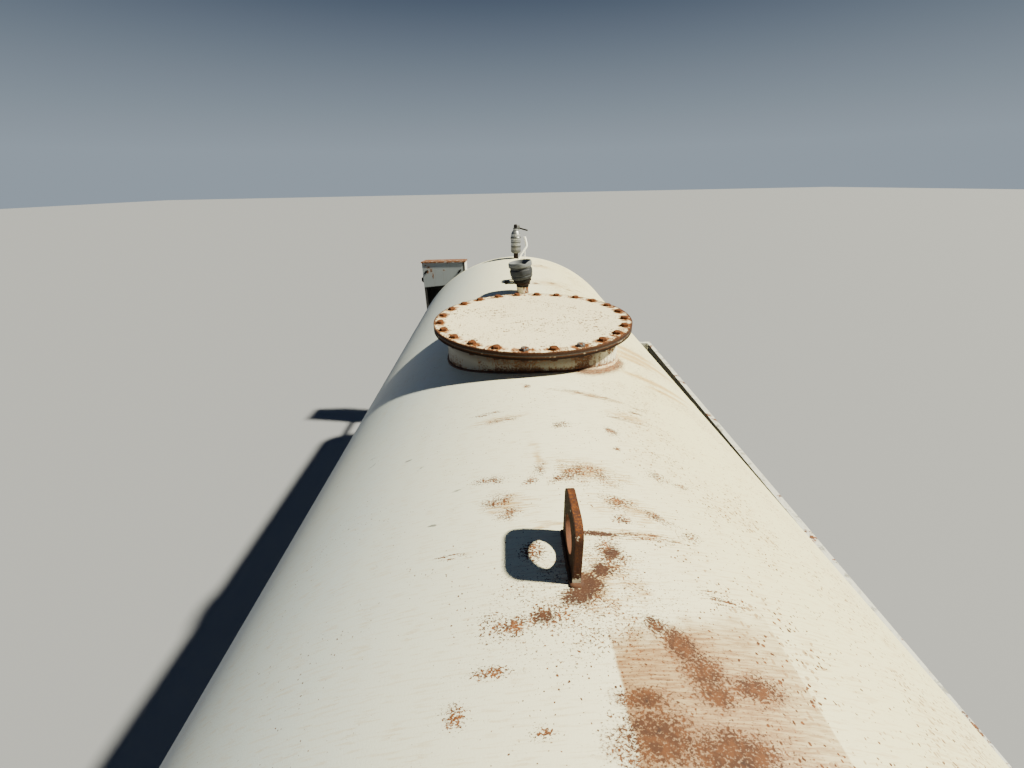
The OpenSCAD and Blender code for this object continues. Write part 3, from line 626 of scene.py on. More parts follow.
def neck_paint():
    """Cream paint on the neck, speckled and run with rust from the flange down, rusty at its foot, with
    painted shade darkening its front and left, and a painted shadow just under the flange."""
    paint = Finish("neck_paint")
    x, y, z = paint.parts(paint.place)
    turn = paint.angle(x, COVER_MID.y - y)
    round_neck = turn * NECK_R
    runs = paint.step(paint.noise(paint.vector(round_neck, z * 0.14), 85, 4, 0.6), 0.38, 0.66)
    under_flange = paint.step(z, FLANGE_LOW - 0.04, FLANGE_LOW)
    foot = AXIS_Z + paint.root(SHELL_R**2 - x * x)
    at_foot = 1 - paint.step(z - foot, 0.004, 0.022)
    to_right = paint.step(turn, -0.45, 0.5) * (1 - paint.step(turn, 0.9, 1.3))
    patches = paint.step(paint.clouds(13, 4), 0.44, 0.6)
    flecks = paint.noise(paint.vector(round_neck, z * 0.8), 200, 4, 0.7)
    share = patches * 0.46 + under_flange * 0.22 + to_right * 0.32 + at_foot * 0.45 + runs * 0.2
    rust = paint.step(flecks + share * 0.34, 0.70, 0.745)
    stain = paint.step(runs * 0.5 + share, 0.5, 1.2)

    # Painted shade: the front and left of the neck are painted dark grey, where the flange and the key
    # light leave them in shade.
    painted_shade_side = 1 - paint.step(turn, 0.5, 0.9)
    colour = paint.mix(painted_shade_side * 0.9, (0.76, 0.72, 0.54), (0.175, 0.165, 0.15))
    colour = paint.mix(stain * 0.6, colour, (0.22, 0.14, 0.075))
    # Painted shadow: a dark band just under the flange on the shaded side.
    band = paint.step(z, FLANGE_LOW - 0.05, FLANGE_LOW - 0.022) * 0.85 * painted_shade_side
    colour = paint.mix(band, colour, (0.05, 0.032, 0.02))
    brown = paint.mix(paint.step(flecks, 0.45, 0.65), DARK_RUST, (0.17, 0.065, 0.024))
    clean_side = paint.step(turn, 0.6, 0.9)
    colour = paint.mix(rust, colour, paint.mix(clean_side, brown, ORANGE_RUST))
    return paint.coat(colour, 0.55 + rust * 0.35, flecks * rust, 0.0007)


def bolt_halos(paint, turn, radius):
    """Rust round each bolt of the cover, drawn out along the bolt circle, and a tail by some."""
    share = 2 * math.pi / BOLT_COUNT
    beside = (turn % share - share / 2) * BOLT_CIRCLE_R
    outward = radius - BOLT_CIRCLE_R
    near_bolt = paint.vector(beside * 0.72 - 0.003, outward * 1.35)
    behind_bolt = paint.vector((beside + 0.02) * 0.55, outward * 1.6 + 0.004)
    halo = 1 - paint.distance(near_bolt, (0, 0, 0)) / 0.034
    tail = 1 - paint.distance(behind_bolt, (0, 0, 0)) / 0.04
    some = paint.step(paint.noise(paint.vector(turn * 2, 0), 9, 1), 0.42, 0.6)
    return halo.most(0) + tail.most(0) * some * 0.8


def cover_scratches(paint, flat, across, wobble):
    """Thin curved scratches, each a stretch of a circle."""
    scratched = None
    for middle_x, middle_y, size, start, end in COVER_SCRATCHES:
        ring = paint.distance(flat, (middle_x, middle_y, 0))
        line = 1 - abs(ring - size + (wobble - 0.5) * 0.004) / 0.0018
        line = line.most(0) * paint.band(across, start, end, 0.006)
        scratched = line if scratched is None else scratched.most(line)
    return scratched


def cover_paint():
    """Cream paint on the cover: fine specks, a few curved scratches, rust at its rim and round
    its bolts, and painted shade darkening its low edge."""
    paint = Finish("cover_paint")
    x, y, z = paint.parts(paint.place)
    dx = x - COVER_MID.x
    dy = y - COVER_MID.y
    flat = paint.vector(dx, dy)
    radius = paint.distance(flat, (0, 0, 0))
    grain = paint.step(paint.clouds(230, 3, 0.6), 0.36, 0.64)
    clumps = paint.step(paint.clouds(46, 4, 0.6), 0.36, 0.64)

    halos = bolt_halos(paint, paint.angle(dy, dx), radius)
    rim = paint.step(radius, COVER_R - 0.014, COVER_R - 0.003) * 0.5
    rim = rim + paint.step(radius, COVER_R - 0.005, COVER_R - 0.002) * 0.6
    edge = 1 - paint.step(z, COVER_TOP - 0.003, COVER_TOP - 0.001)
    right_border = paint.step(dx, 0.0, 0.3) * paint.step(radius, 0.305, 0.335)
    strong = halos * 0.9 + rim + edge + right_border * 0.22
    rust = paint.step(grain * 0.5 + clumps * 0.5 + strong, 1.05, 1.25)
    crowd = paint.step(paint.noise(flat, 7, 3), 0.4, 0.62)
    specks = paint.dots(paint.ragged(x, y, 160, 0.008), 120, 0.16 + crowd * 0.26, 1.6)
    pricks = paint.dots(flat, 230, 0.26, 1.7)
    worn = rust.most(specks.most(pricks * 0.7))

    ochre = paint.step(halos + rim * 0.6 + clumps * 0.3, 0.22, 1.0)
    dulled = paint.step(paint.clouds(4, 4), 0.35, 0.7)
    colour = paint.mix(dulled * 0.35, (0.80, 0.71, 0.485), (0.70, 0.60, 0.40))
    colour = paint.mix(ochre, colour, (0.36, 0.17, 0.065))
    colour = paint.mix(cover_scratches(paint, flat, dx, clumps) * 0.8, colour, (0.20, 0.11, 0.06))
    by_edge = paint.step(radius, COVER_R - 0.008, COVER_R - 0.003)
    brown = paint.mix(by_edge * 0.75, paint.rust(100), (0.05, 0.02, 0.012))
    colour = paint.mix(worn, colour, brown)
    # Painted shade: the cover's low edge is darkened to near black.
    low_edge = 1 - paint.step(z, COVER_TOP - 0.005, COVER_TOP - 0.001)
    colour = paint.mix(low_edge * 0.85, colour, (0.026, 0.013, 0.009))
    return paint.coat(colour, 0.5 + worn * 0.38, worn * -0.4 + grain * worn, 0.0007, gloss=0.2)


def roof_rust():
    """Rusted roof sheet with what is left of its grey paint in worn islands."""
    steel = Finish("cabinet_rust")
    islands = steel.clouds(40, 5, 0.65)
    grain = steel.clouds(320, 3, 0.65)
    left = steel.step(islands + grain * 0.25, 0.728, 0.768)
    stain = steel.step(steel.clouds(60, 3), 0.4, 0.7)
    dirty = steel.mix(stain * 0.5, (0.45, 0.44, 0.42), OCHRE)
    colour = steel.mix(left, steel.rust(70), dirty)
    relief = left * 0.4 + grain * (1 - left) * 0.9
    return steel.coat(colour, 0.9 - left * 0.3, relief, 0.0009)


def flange_rust():
    """Flange: rusted steel darkened to near black below its upper edge as painted shade; the upper edge
    keeps a little worn paint.
    """
    steel = Finish("flange_rust")
    z = steel.parts(steel.place)[2]
    islands = steel.clouds(30, 5, 0.65)
    grain = steel.clouds(320, 3, 0.65)
    high = steel.step(z, high_corner("manway_flange").z - 0.006, high_corner("manway_flange").z)
    left = steel.step(islands + grain * 0.2 + high * 0.05, 0.72, 0.76)
    rust = steel.mix(steel.step(grain + high * 0.2, 0.5, 0.75), DARK_RUST, BROWN_RUST)
    rust = steel.mix(steel.step(islands, 0.5, 0.65) * 0.7, rust, (0.10, 0.045, 0.025))
    # Painted shade: the flange's side below its upper edge is near black.
    rust = steel.mix(1 - high, rust, (0.014, 0.008, 0.006))
    colour = steel.mix(left * high, rust, (0.34, 0.28, 0.20))
    return steel.coat(colour, 0.9 - left * 0.25, left * 0.4 + grain * (1 - left) * 0.9, 0.0009, gloss=0.1)


def lug_rust():
    """Rusted lug: orange brown faces, paint left low on its near edge, a pinkish hole wall, and painted
    shade darkening its left face and its near edge.
    """
    steel = Finish("lug_rust")
    x, y, z = steel.parts(steel.place)
    islands = steel.clouds(34, 5, 0.65)
    grain = steel.clouds(330, 3, 0.65)
    low = 1 - steel.step(z, TOP_Z + 0.02, TOP_Z + 0.045)
    near = 1 - steel.step(y, low_corner("near_lug").y + 0.001, low_corner("near_lug").y + 0.006)
    left = steel.step(islands + grain * 0.2 + near * low * 0.2, 0.75, 0.79)
    eye_middle = (0, middle("near_lug").y, TOP_Z + LUG_EYE_ABOVE_SHELL)
    from_eye = steel.distance(steel.vector(0, y, z), eye_middle)
    eye = 1 - steel.step(abs(from_eye - LUG_EYE_R), 0.0, 0.0015)
    rust = steel.mix(steel.step(grain, 0.36, 0.58), steel.rust(80), (0.06, 0.027, 0.019))
    # Painted shade: the lug's left face is darkened to near black.
    left_face = 1 - steel.step(x, low_corner("near_lug").x + 0.0005, low_corner("near_lug").x + 0.002)
    rust = steel.mix(left_face * 0.8, rust, (0.016, 0.009, 0.008))
    # Painted shade: the near edge is darkened too.
    rust = steel.mix(near * 0.6, rust, (0.036, 0.017, 0.013))
    rust = steel.mix(eye * 0.6, rust, (0.17, 0.078, 0.052))
    colour = steel.mix(left, rust, (0.55, 0.49, 0.37))
    return steel.coat(colour, 0.9 - left * 0.25, left * 0.4 + grain * (1 - left) * 0.9, 0.0009, gloss=0.1)


def saddle_paint():
    """Cream paint on the saddles: chipped rusty edges, runs from above, mud splashed from below."""
    paint = Finish("saddle_paint")
    x, y, z = paint.parts(paint.place)
    grain = paint.clouds(180, 3, 0.6)
    patches = paint.clouds(12, 5, 0.65)
    runs = paint.noise(paint.vector(x, y, z * 0.08), 52, 4, 0.6)
    mud = 1 - paint.step(z + paint.clouds(17, 3) * 0.09, 0.03, 0.16)
    rust = paint.step(patches + grain * 0.3 + mud * 0.07, 0.72, 0.78)
    stain = paint.step(runs, 0.5, 0.68)
    colour = paint.mix(stain * 0.5, (0.70, 0.67, 0.58), (0.46, 0.36, 0.25))
    colour = paint.mix(mud * 0.75, colour, (0.27, 0.22, 0.17))
    colour = paint.mix(rust, colour, paint.rust())
    return paint.coat(colour, 0.6 + rust * 0.3, grain * rust - rust * 0.4, 0.0009)


def pipe_paint():
    """Cream paint on the fill pipe, worn off to rust on its right side."""
    paint = Finish("pipe_paint")
    x, _, z = paint.parts(paint.place)
    grain = paint.clouds(240, 3, 0.6)
    runs = paint.noise(paint.vector(x * 3, z * 0.4), 60, 4)
    side = paint.step(x, -0.01, 0.03)
    rust = paint.step(grain * 0.5 + runs * 0.5 + side * 0.18, 0.56, 0.64)
    colour = paint.mix(runs, (0.66, 0.58, 0.44), (0.50, 0.38, 0.25))
    colour = paint.mix(rust, colour, paint.rust(120))
    return paint.coat(colour, 0.65 + rust * 0.25, grain, 0.0005)


def dusty(name, tint, dust, roughness=0.6, gloss=0.5):
    """Plain coat dulled by dust and small knocks that lie in patches."""
    coat = Finish(name)
    grain = coat.clouds(300, 3, 0.6)
    patches = coat.clouds(32, 4, 0.6)
    veil = coat.step(patches * 0.6 + grain * 0.4, 0.48, 0.65)
    knocks = coat.dots(coat.place, 150, 0.25, flat=False)
    colour = coat.mix(veil * 0.7, tint, dust)
    colour = coat.mix(knocks * 0.5, colour, [value * 0.4 for value in tint])
    return coat.coat(colour, roughness + veil * 0.2, grain * 0.3 - knocks * 0.4, 0.0004, gloss=gloss)


def grey_cup():
    """Dull grey cup with dirt in patches and faint rings, paler in a band at its lip."""
    cup = Finish("grey_cup")
    place = cup.parts(cup.place)
    grain = cup.clouds(260, 3, 0.6)
    rings = cup.noise(cup.vector(0, 0, place[2]), 240, 2)
    patches = cup.clouds(38, 4, 0.6)
    dirt = cup.step(patches + grain * 0.2, 0.52, 0.74)
    colour = cup.mix(dirt * 0.7, (0.026, 0.029, 0.038), (0.015, 0.014, 0.016))
    colour = cup.mix(cup.step(rings, 0.52, 0.66) * 0.3, colour, (0.05, 0.05, 0.052))
    lip = cup.step(place[2], high_corner("fill_cup").z - 0.034, high_corner("fill_cup").z - 0.03)
    colour = cup.mix(lip * 0.75, colour, (0.15, 0.16, 0.18))
    return cup.coat(colour, 0.62 + dirt * 0.2, grain * 0.3 + rings * 0.3, 0.0004, gloss=0.3)


def silver_body():
    """Dull cast valve body: bright and dark rings in turn, the bright ones painted highlights and the
    dark ones grooves, and a grimy foot.
    """
    body = Finish("dull_silver")
    z = body.parts(body.place)[2]
    grain = body.clouds(420, 3, 0.6)
    patches = body.clouds(30, 4, 0.6)
    low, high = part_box("relief_body")
    share = (z - low.z) / (high.z - low.z)
    # Painted highlights: bright rings along the height stand in for glints, between darker grooves.
    rings = body.step(body.noise(body.vector(0, 0, z), 62, 2), 0.42, 0.58)
    grime = 1 - body.step(share + patches * 0.2, 0.16, 0.42)
    stain = body.step(patches + grain * 0.15, 0.56, 0.74)
    colour = body.mix(rings, (0.10, 0.105, 0.11), (0.46, 0.47, 0.49))
    colour = body.mix(stain * 0.5, colour, (0.13, 0.125, 0.12))
    colour = body.mix(grime * 0.7, colour, (0.06, 0.056, 0.052))
    return body.coat(colour, 0.40 + stain * 0.25, grain * 0.4 + stain * 0.2, 0.0004, 0.6)


def white_tube():
    """White plastic tube, faintly yellowed and dusty."""
    tube = Finish("white_tube")
    film = tube.step(tube.clouds(44, 4), 0.42, 0.7)
    specks = tube.dots(tube.place, 260, 0.2, flat=False)
    colour = tube.mix(film * 0.4, (0.92, 0.92, 0.90), (0.80, 0.78, 0.70))
    colour = tube.mix(specks * 0.4, colour, (0.35, 0.33, 0.30))
    return tube.coat(colour, 0.42 + film * 0.2, film * 0.2, 0.0002)


def tray_paint():
    """Hose tray: black inside as painted shade, weathered light grey on its rim and its outer faces."""
    paint = Finish("tray_paint")
    x, y, z = paint.parts(paint.place)
    tilt = math.radians(TRAY_ANGLE)
    rim = high_corner("hose_tray")
    dy = y - FAR_TANGENT
    rise = (z - rim.z) * math.cos(tilt) - dy * math.sin(tilt)
    along = dy * math.cos(tilt) + (z - rim.z) * math.sin(tilt)
    left = low_corner("hose_tray").x
    sheet = TRAY_SHEET
    hollow = (
        paint.step(x, left + sheet, left + sheet * 1.5)
        * (1 - paint.step(x, rim.x - TRAY_RIM - sheet * 1.5, rim.x - TRAY_RIM - sheet))
        * paint.step(rise, -TRAY_DEPTH + sheet, -TRAY_DEPTH + sheet * 1.5)
        * (1 - paint.step(rise, -sheet, -sheet * 0.2))
        * (1 - paint.step(along, -TRAY_RIM - sheet * 1.5, -TRAY_RIM - sheet))
    )
    grain = paint.clouds(150, 4, 0.6)
    blots = paint.clouds(24, 5, 0.65)
    runs = paint.noise(paint.vector(y, z * 0.1, x), 44, 4)
    worn = paint.step(blots + grain * 0.3, 0.68, 0.80)
    rust = paint.step(paint.clouds(13, 5, 0.65) + grain * 0.2, 0.68, 0.74)
    grey = paint.mix(worn, (0.50, 0.50, 0.48), (0.22, 0.215, 0.20))
    grey = paint.mix(paint.step(runs, 0.52, 0.7) * 0.5, grey, (0.33, 0.30, 0.25))
    # Painted shade: the tray's inside is near black.
    black = paint.mix(paint.step(blots, 0.5, 0.75), SHADE_BLACK, (0.05, 0.045, 0.04))
    colour = paint.mix(hollow, grey, black)
    colour = paint.mix(rust * (1 - hollow * 0.8), colour, paint.rust())
    return paint.coat(colour, 0.62 + rust * 0.25, grain * 0.4 - rust * 0.4, 0.0006)


def cabinet_paint():
    """Cabinet sheet: weathered light grey outside, black inside and on its front edges as painted shade.
    """
    paint = Finish("cabinet_paint")
    x, y, z = paint.parts(paint.place)
    low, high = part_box("cabinet_box")
    skin = 0.0015
    outside = (
        (1 - paint.step(x, low.x + skin * 0.5, low.x + skin))
        .most(paint.step(x, high.x - skin, high.x - skin * 0.5))
        .most(paint.step(y, high.y - skin, high.y - skin * 0.5))
    ) * paint.step(y, low.y + skin, low.y + skin * 2)
    grain = paint.clouds(160, 3, 0.6)
    runs = paint.noise(paint.vector(x, y, z * 0.08), 56, 4)
    rust = paint.step(paint.clouds(15, 5, 0.65) + grain * 0.2, 0.68, 0.74)
    grey = paint.mix(paint.step(runs, 0.48, 0.7) * 0.5, (0.60, 0.61, 0.59), (0.40, 0.36, 0.30))
    # Painted shade: the inside and the front edges are near black.
    black = paint.mix(paint.step(grain, 0.5, 0.7), SHADE_BLACK, (0.06, 0.055, 0.05))
    colour = paint.mix(outside, black, grey)
    colour = paint.mix(rust * outside, colour, paint.rust())
    return paint.coat(colour, 0.62 + rust * 0.25, grain * 0.4, 0.0004)


def cabinet_grey():
    """Light grey panel: rust bleeding from under the roof, one patch with a run, one spot."""
    paint = Finish("cabinet_grey")
    x, _, z = paint.parts(paint.place)
    low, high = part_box("cabinet_panel")
    grain = paint.step(paint.clouds(130, 4, 0.6), 0.36, 0.64)
    clumps = paint.step(paint.clouds(34, 4, 0.6), 0.36, 0.64)
    marks = paint.stains(x - low.x, high.z - z, PANEL_RUST)
    lip = 1 - paint.step(high.z - z, 0.008, 0.026)
    rust = paint.step(grain * 0.5 + clumps * 0.35 + marks * 0.95 + lip * 0.5, 0.98, 1.16)
    above_rim = z - low.z - (x - low.x) * math.tan(math.radians(PANEL_EDGE_ANGLE))
    rim = (1 - paint.step(above_rim, 0.002, 0.006)) * 0.5
    runs = paint.noise(paint.vector(x, z * 0.08), 60, 4)
    colour = paint.mix(paint.step(runs, 0.5, 0.7) * 0.35, (0.27, 0.30, 0.33), (0.20, 0.19, 0.17))
    colour = paint.mix(marks * 0.4, colour, (0.45, 0.30, 0.18))
    colour = paint.mix(rim * clumps, colour, DARK_RUST)
    colour = paint.mix(rust, colour, paint.rust(90))
    return paint.coat(colour, 0.6 + rust * 0.3, grain * rust, 0.0005)


def bolt_rust():
    """Rusted bolt heads and nuts; two of the nearest still have grey zinc on them. Below the cover's top
    the nuts and shanks are dark as painted shade.
    """
    steel = Finish("bolt_rust")
    grain = steel.clouds(500, 3, 0.65)
    first, second = (steel.distance(steel.place, bolt) for bolt in ZINC_BOLTS)
    zinc = 1 - steel.step(first.least(second + 0.002), 0.022, 0.026)
    worn = steel.step(steel.clouds(150, 3), 0.44, 0.56)
    rust = steel.mix(steel.step(grain, 0.4, 0.62), steel.rust(120), (0.075, 0.028, 0.014))
    height = steel.parts(steel.place)[2]
    # Painted shade: everything below the cover's top is dark rust.
    rust = steel.mix(steel.step(height, COVER_TOP - 0.02, COVER_TOP), DARK_RUST, rust)
    colour = steel.mix(zinc * worn, rust, (0.15, 0.165, 0.18))
    return steel.coat(colour, 0.85 - zinc * worn * 0.3, grain, 0.0006, zinc * worn * 0.6, gloss=0.15)


def weld_finish(name, tint, rust_share):
    """Painted weld bead with rust in its ripples."""
    weld = Finish(name)
    grain = weld.clouds(260, 3, 0.65)
    patches = weld.clouds(26, 4, 0.6)
    rust = weld.step(patches * 0.6 + grain * 0.4, 0.66 - rust_share * 0.36, 0.70 - rust_share * 0.3)
    colour = weld.mix(weld.step(grain, 0.45, 0.7) * 0.4, tint, OCHRE)
    brown = weld.mix(rust_share * 0.7, weld.rust(110), DARK_RUST)
    colour = weld.mix(rust, colour, brown)
    return weld.coat(colour, 0.6 + rust * 0.3, grain, 0.0005)


def neck_weld_finish():
    """Bead at the neck's foot: dark with rust, with pale paint left on its right side; its dark front and
    left also stand for painted shade.
    """
    weld = Finish("neck_weld")
    x, y, _ = weld.parts(weld.place)
    turn = weld.angle(x, COVER_MID.y - y)
    grain = weld.clouds(240, 3, 0.65)
    # Painted shade: the bead is dark rust where the neck is in shade, pale paint only on the lit right
    # side.
    painted = weld.band(turn, 0.6, 2.2, 0.2)
    rust = weld.mix(weld.step(grain, 0.4, 0.6), DARK_RUST, BROWN_RUST)
    worn = weld.mix(weld.step(grain, 0.42, 0.55), (0.72, 0.63, 0.42), (0.35, 0.18, 0.07))
    return weld.coat(weld.mix(painted, rust, worn), 0.8, grain, 0.0006)


FINISHES = {
    "shell_paint": ShellPaint().finished(),
    "cover_paint": cover_paint(),
    "neck_paint": neck_paint(),
    "saddle_paint": saddle_paint(),
    "rusted_steel": flange_rust(),
    "lug_rust": lug_rust(),
    "pipe_paint": pipe_paint(),
    "gasket_rubber": dusty("gasket_rubber", (0.03, 0.028, 0.027), (0.12, 0.08, 0.05), 0.85),
    "dull_metal": dusty("dull_metal", (0.016, 0.010, 0.009), (0.050, 0.024, 0.014), 0.7, 0.1),
    "black_fitting": dusty("black_fitting", (0.007, 0.006, 0.006), (0.018, 0.011, 0.009), 0.65, 0.12),
    "grey_cup": grey_cup(),
    "dull_silver": silver_body(),
    "white_tube": white_tube(),
    "tray_paint": tray_paint(),
    "cabinet_dark": dusty("cabinet_dark", (0.03, 0.03, 0.032), (0.10, 0.09, 0.08), 0.6),
    "cabinet_paint": cabinet_paint(),
    "cabinet_grey": cabinet_grey(),
    "cabinet_rust": roof_rust(),
}
BOLT_RUST = bolt_rust()
NECK_WELD = neck_weld_finish()
WELD_CREAM = weld_finish("weld_cream", (0.72, 0.68, 0.58), 0.12)
WELD_RUSTY = weld_finish("weld_rusty", (0.15, 0.085, 0.05), 1.0)


def dress_nodes():
    """Gives each CAD node the finish of its slot."""
    for part in frame["record"]["subparts"]:
        node = frame["nodes"][part["node"]]
        finish = FINISHES[part["material_slot"]]
        if not node.material_slots:
            node.data.materials.append(finish)
        for slot in node.material_slots:
            slot.link = "OBJECT"
            slot.material = finish


def piece(name, mesh, finish, slot, *replaced):
    """Makes a closed mesh a finished piece that rides on the tank."""
    bmesh.ops.remove_doubles(mesh, verts=mesh.verts, dist=1e-6)
    bmesh.ops.recalc_face_normals(mesh, faces=mesh.faces)
    for face in mesh.faces:
        face.smooth = True
    for edge in mesh.edges:
        edge.smooth = edge.calc_face_angle(math.pi) < SHARP_EDGE
    data = bpy.data.meshes.new(name)
    mesh.to_mesh(data)
    mesh.free()
    data.materials.append(finish)
    made = bpy.data.objects.new(name, data)
    bpy.context.collection.objects.link(made)
    return declare(made, slot, *replaced)


def declare(made, slot, *replaced):
    """Lets a piece ride on the tank in place of the CAD nodes that it replaces; its slot is not used."""
    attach(made, BODY)
    if replaced:
        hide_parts(*replaced)
    return made


def loft(mesh, rings, closed=False):
    """Adds a skin over rings of equally many points, capped at both ends unless it closes on itself."""
    loops = [[mesh.verts.new(point) for point in ring] for ring in rings]
    count = len(loops[0])
    pairs = list(zip(loops, loops[1:]))
    if closed:
        pairs.append((loops[-1], loops[0]))
    else:
        mesh.faces.new(loops[0][::-1])
        mesh.faces.new(loops[-1])
    for first, second in pairs:
        for i in range(count):
            j = (i + 1) % count
            mesh.faces.new((first[i], first[j], second[j], second[i]))


def circle(radius, height, sides, place=Matrix()):
    """Points of a level circle, put in place."""
    return [
        place @ Vector((radius * math.cos(turn), radius * math.sin(turn), height))
        for turn in (2 * math.pi * i / sides for i in range(sides))
    ]


def rounded(outline, size, steps=3):
    """The outline with its inner corners rounded by up to size."""
    points = [Vector(outline[0])]
    for before, corner, after in zip(outline, outline[1:], outline[2:]):
        before, corner, after = Vector(before), Vector(corner), Vector(after)
        reach_in = min(size, (before - corner).length * 0.45)
        reach_out = min(size, (after - corner).length * 0.45)
        start = corner + (before - corner).normalized() * reach_in
        end = corner + (after - corner).normalized() * reach_out
        for i in range(steps + 1):
            t = i / steps
            points.append(start * (1 - t) ** 2 + corner * 2 * t * (1 - t) + end * t**2)
    return points + [Vector(outline[-1])]


def hexagon_head(mesh, across_flats, start, end, place=Matrix()):
    """Adds a hexagon with its corners chamfered at the end away from start."""
    flat_r = across_flats / 2
    corner_r = flat_r / math.cos(math.pi / 6)
    lift = end - start

    def ring(share_of_corner, drop_corner, drop_flat):
        points = []
        for i in range(12):
            corner = i % 2 == 0
            radius = (corner_r if corner else flat_r) * share_of_corner
            drop = drop_corner if corner else drop_flat
            turn = i * math.pi / 6
            height = end - lift * drop
            points.append(place @ Vector((radius * math.cos(turn), radius * math.sin(turn), height)))
        return points

    top = circle(flat_r * 0.84, end, 12, place)
    loft(mesh, [ring(1, 1, 1), ring(1, 0.42, 0.24), ring(0.93, 0.10, 0.08), top])


def bolt_mesh():
    """One bolt: its head on the seat at height 0, its shank, and a washer and low nut below."""
    mesh = bmesh.new()
    washer_low = FLANGE_LOW - COVER_TOP - WASHER_T
    washer = [(WASHER_R - 0.0005, 0), (WASHER_R, 0.3), (WASHER_R, 0.8), (WASHER_R - 0.0007, 1)]
    loft(mesh, [circle(radius, washer_low + WASHER_T * share, 24) for radius, share in washer])
    hexagon_head(mesh, HEAD_ACROSS, -0.0005, HEAD_H)
    hexagon_head(mesh, NUT_ACROSS, washer_low, washer_low - NUT_H)
    end = washer_low - NUT_H - END_PAST_NUT
    shank = [(BOLT_D * 0.4, end), (BOLT_D / 2, end + 0.002), (BOLT_D / 2, WASHER_T)]
    loft(mesh, [circle(radius, height, 16) for radius, height in shank])
    return mesh


def tree_inputs(tree, **kinds):
    """Named inputs for a geometry tree, with their values to hand."""
    for name, kind in kinds.items():
        tree.tree.interface.new_socket(name, in_out="INPUT", socket_type="NodeSocket" + kind)
    tree.tree.interface.new_socket("result", in_out="OUTPUT", socket_type="NodeSocketGeometry")
    made = tree.add("NodeGroupInput")
    return {name: Value(tree, made.outputs[name]) for name in kinds}


def tree_result(tree, shape, finish):
    """Ends a geometry tree: instances made real, then the finish."""
    real = tree.node("GeometryNodeRealizeInstances", sockets={0: shape})
    painted = tree.node("GeometryNodeSetMaterial", sockets={"Geometry": real, "Material": finish})
    tree.add("NodeGroupOutput", sockets={"result": painted})


def grown(name, tree, start, slot, **inputs):
    """The piece that a geometry tree makes from a starting mesh, as a plain mesh."""
    made = bpy.data.objects.new(name, start)
    bpy.context.collection.objects.link(made)
    modifier = made.modifiers.new(tree.name, "NODES")
    modifier.node_group = tree
    for item in tree.interface.items_tree:
        if item.name in inputs:
            modifier[item.identifier] = inputs[item.name]
    graph = bpy.context.evaluated_depsgraph_get()
    graph.update()
    plain = bpy.data.meshes.new_from_object(made.evaluated_get(graph), depsgraph=graph)
    made.modifiers.remove(modifier)
    made.data = plain
    return declare(made, slot)


def bolt_ring_tree():
    """Copies of one bolt on a level circle, each turned by chance."""
    tree = Tree(bpy.data.node_groups.new("bolt_ring", "GeometryNodeTree"))
    given = tree_inputs(
        tree, start="Geometry", bolt="Object", count="Int", circle_radius="Float",
        middle="Vector", seed="Int", finish="Material",
    )
    ring = tree.node(
        "GeometryNodeMeshCircle", sockets={"Vertices": given["count"], "Radius": given["circle_radius"]}
    )
    half_step = tree.node("ShaderNodeCombineXYZ", sockets={2: math.pi / given["count"]})
    placed = tree.node(
        "GeometryNodeTransform",
        sockets={"Geometry": ring, "Translation": given["middle"], "Rotation": half_step},
    )
    chance = tree.node(
        "FunctionNodeRandomValue",
        {"data_type": "FLOAT"},
        {2: 0.0, 3: math.pi / 3, "Seed": given["seed"]},
        out=1,
    )
    turn = tree.node("ShaderNodeCombineXYZ", sockets={2: chance})
    one = tree.node("GeometryNodeObjectInfo", sockets={"Object": given["bolt"]}, out="Geometry")
    bolts = tree.node(
        "GeometryNodeInstanceOnPoints",
        sockets={"Points": placed, "Instance": one, "Rotation": turn},
    )
    tree_result(tree, bolts, given["finish"])
    return tree.tree


def weld_bead_tree():
    """A rippled bead that follows the edges of the starting mesh."""
    tree = Tree(bpy.data.node_groups.new("weld_bead", "GeometryNodeTree"))
    given = tree_inputs(
        tree, start="Geometry", radius="Float", spacing="Float", ripple="Float", lumps="Float",
        finish="Material",
    )
    path = tree.node("GeometryNodeMeshToCurve", sockets={"Mesh": given["start"]})
    fine = tree.node(
        "GeometryNodeResampleCurve", {"mode": "LENGTH"}, {"Curve": path, "Length": given["spacing"]}
    )
    number = tree.node("GeometryNodeInputIndex")
    wave = tree.node("ShaderNodeMath", {"operation": "PINGPONG"}, {0: number, 1: 1.0})
    where = tree.node("GeometryNodeInputPosition")
    lump = tree.node("ShaderNodeTexNoise", sockets={"Vector": where, "Scale": 55.0, "Detail": 2.0})
    width = given["radius"] * (1 - wave * given["ripple"] + (lump - 0.5) * given["lumps"])
    profile = tree.node(
        "GeometryNodeCurvePrimitiveCircle", {"mode": "RADIUS"}, {"Resolution": 8, "Radius": 1.0}
    )
    bead = tree.node(
        "GeometryNodeCurveToMesh",
        sockets={"Curve": fine, "Profile Curve": profile, "Scale": width, "Fill Caps": True},
    )
    smooth = tree.node("GeometryNodeSetShadeSmooth", sockets={"Geometry": bead})
    tree_result(tree, smooth, given["finish"])
    return tree.tree


def path_mesh(name, paths):
    """A mesh of edges along paths; a path is its points and whether it closes."""
    points, edges = [], []
    for path, closed in paths:
        first = len(points)
        points += [tuple(point) for point in path]
        edges += [(first + i, first + i + 1) for i in range(len(path) - 1)]
        if closed:
            edges.append((len(points) - 1, first))
    data = bpy.data.meshes.new(name)
    data.from_pydata(points, edges, [])
    return data


def on_shell(x, y, sunk=0.0):
    """Point on the shell's upper half, sunk by a little."""
    radius = SHELL_R - sunk
    return Vector((x, y, AXIS_Z + math.sqrt(radius**2 - x**2)))


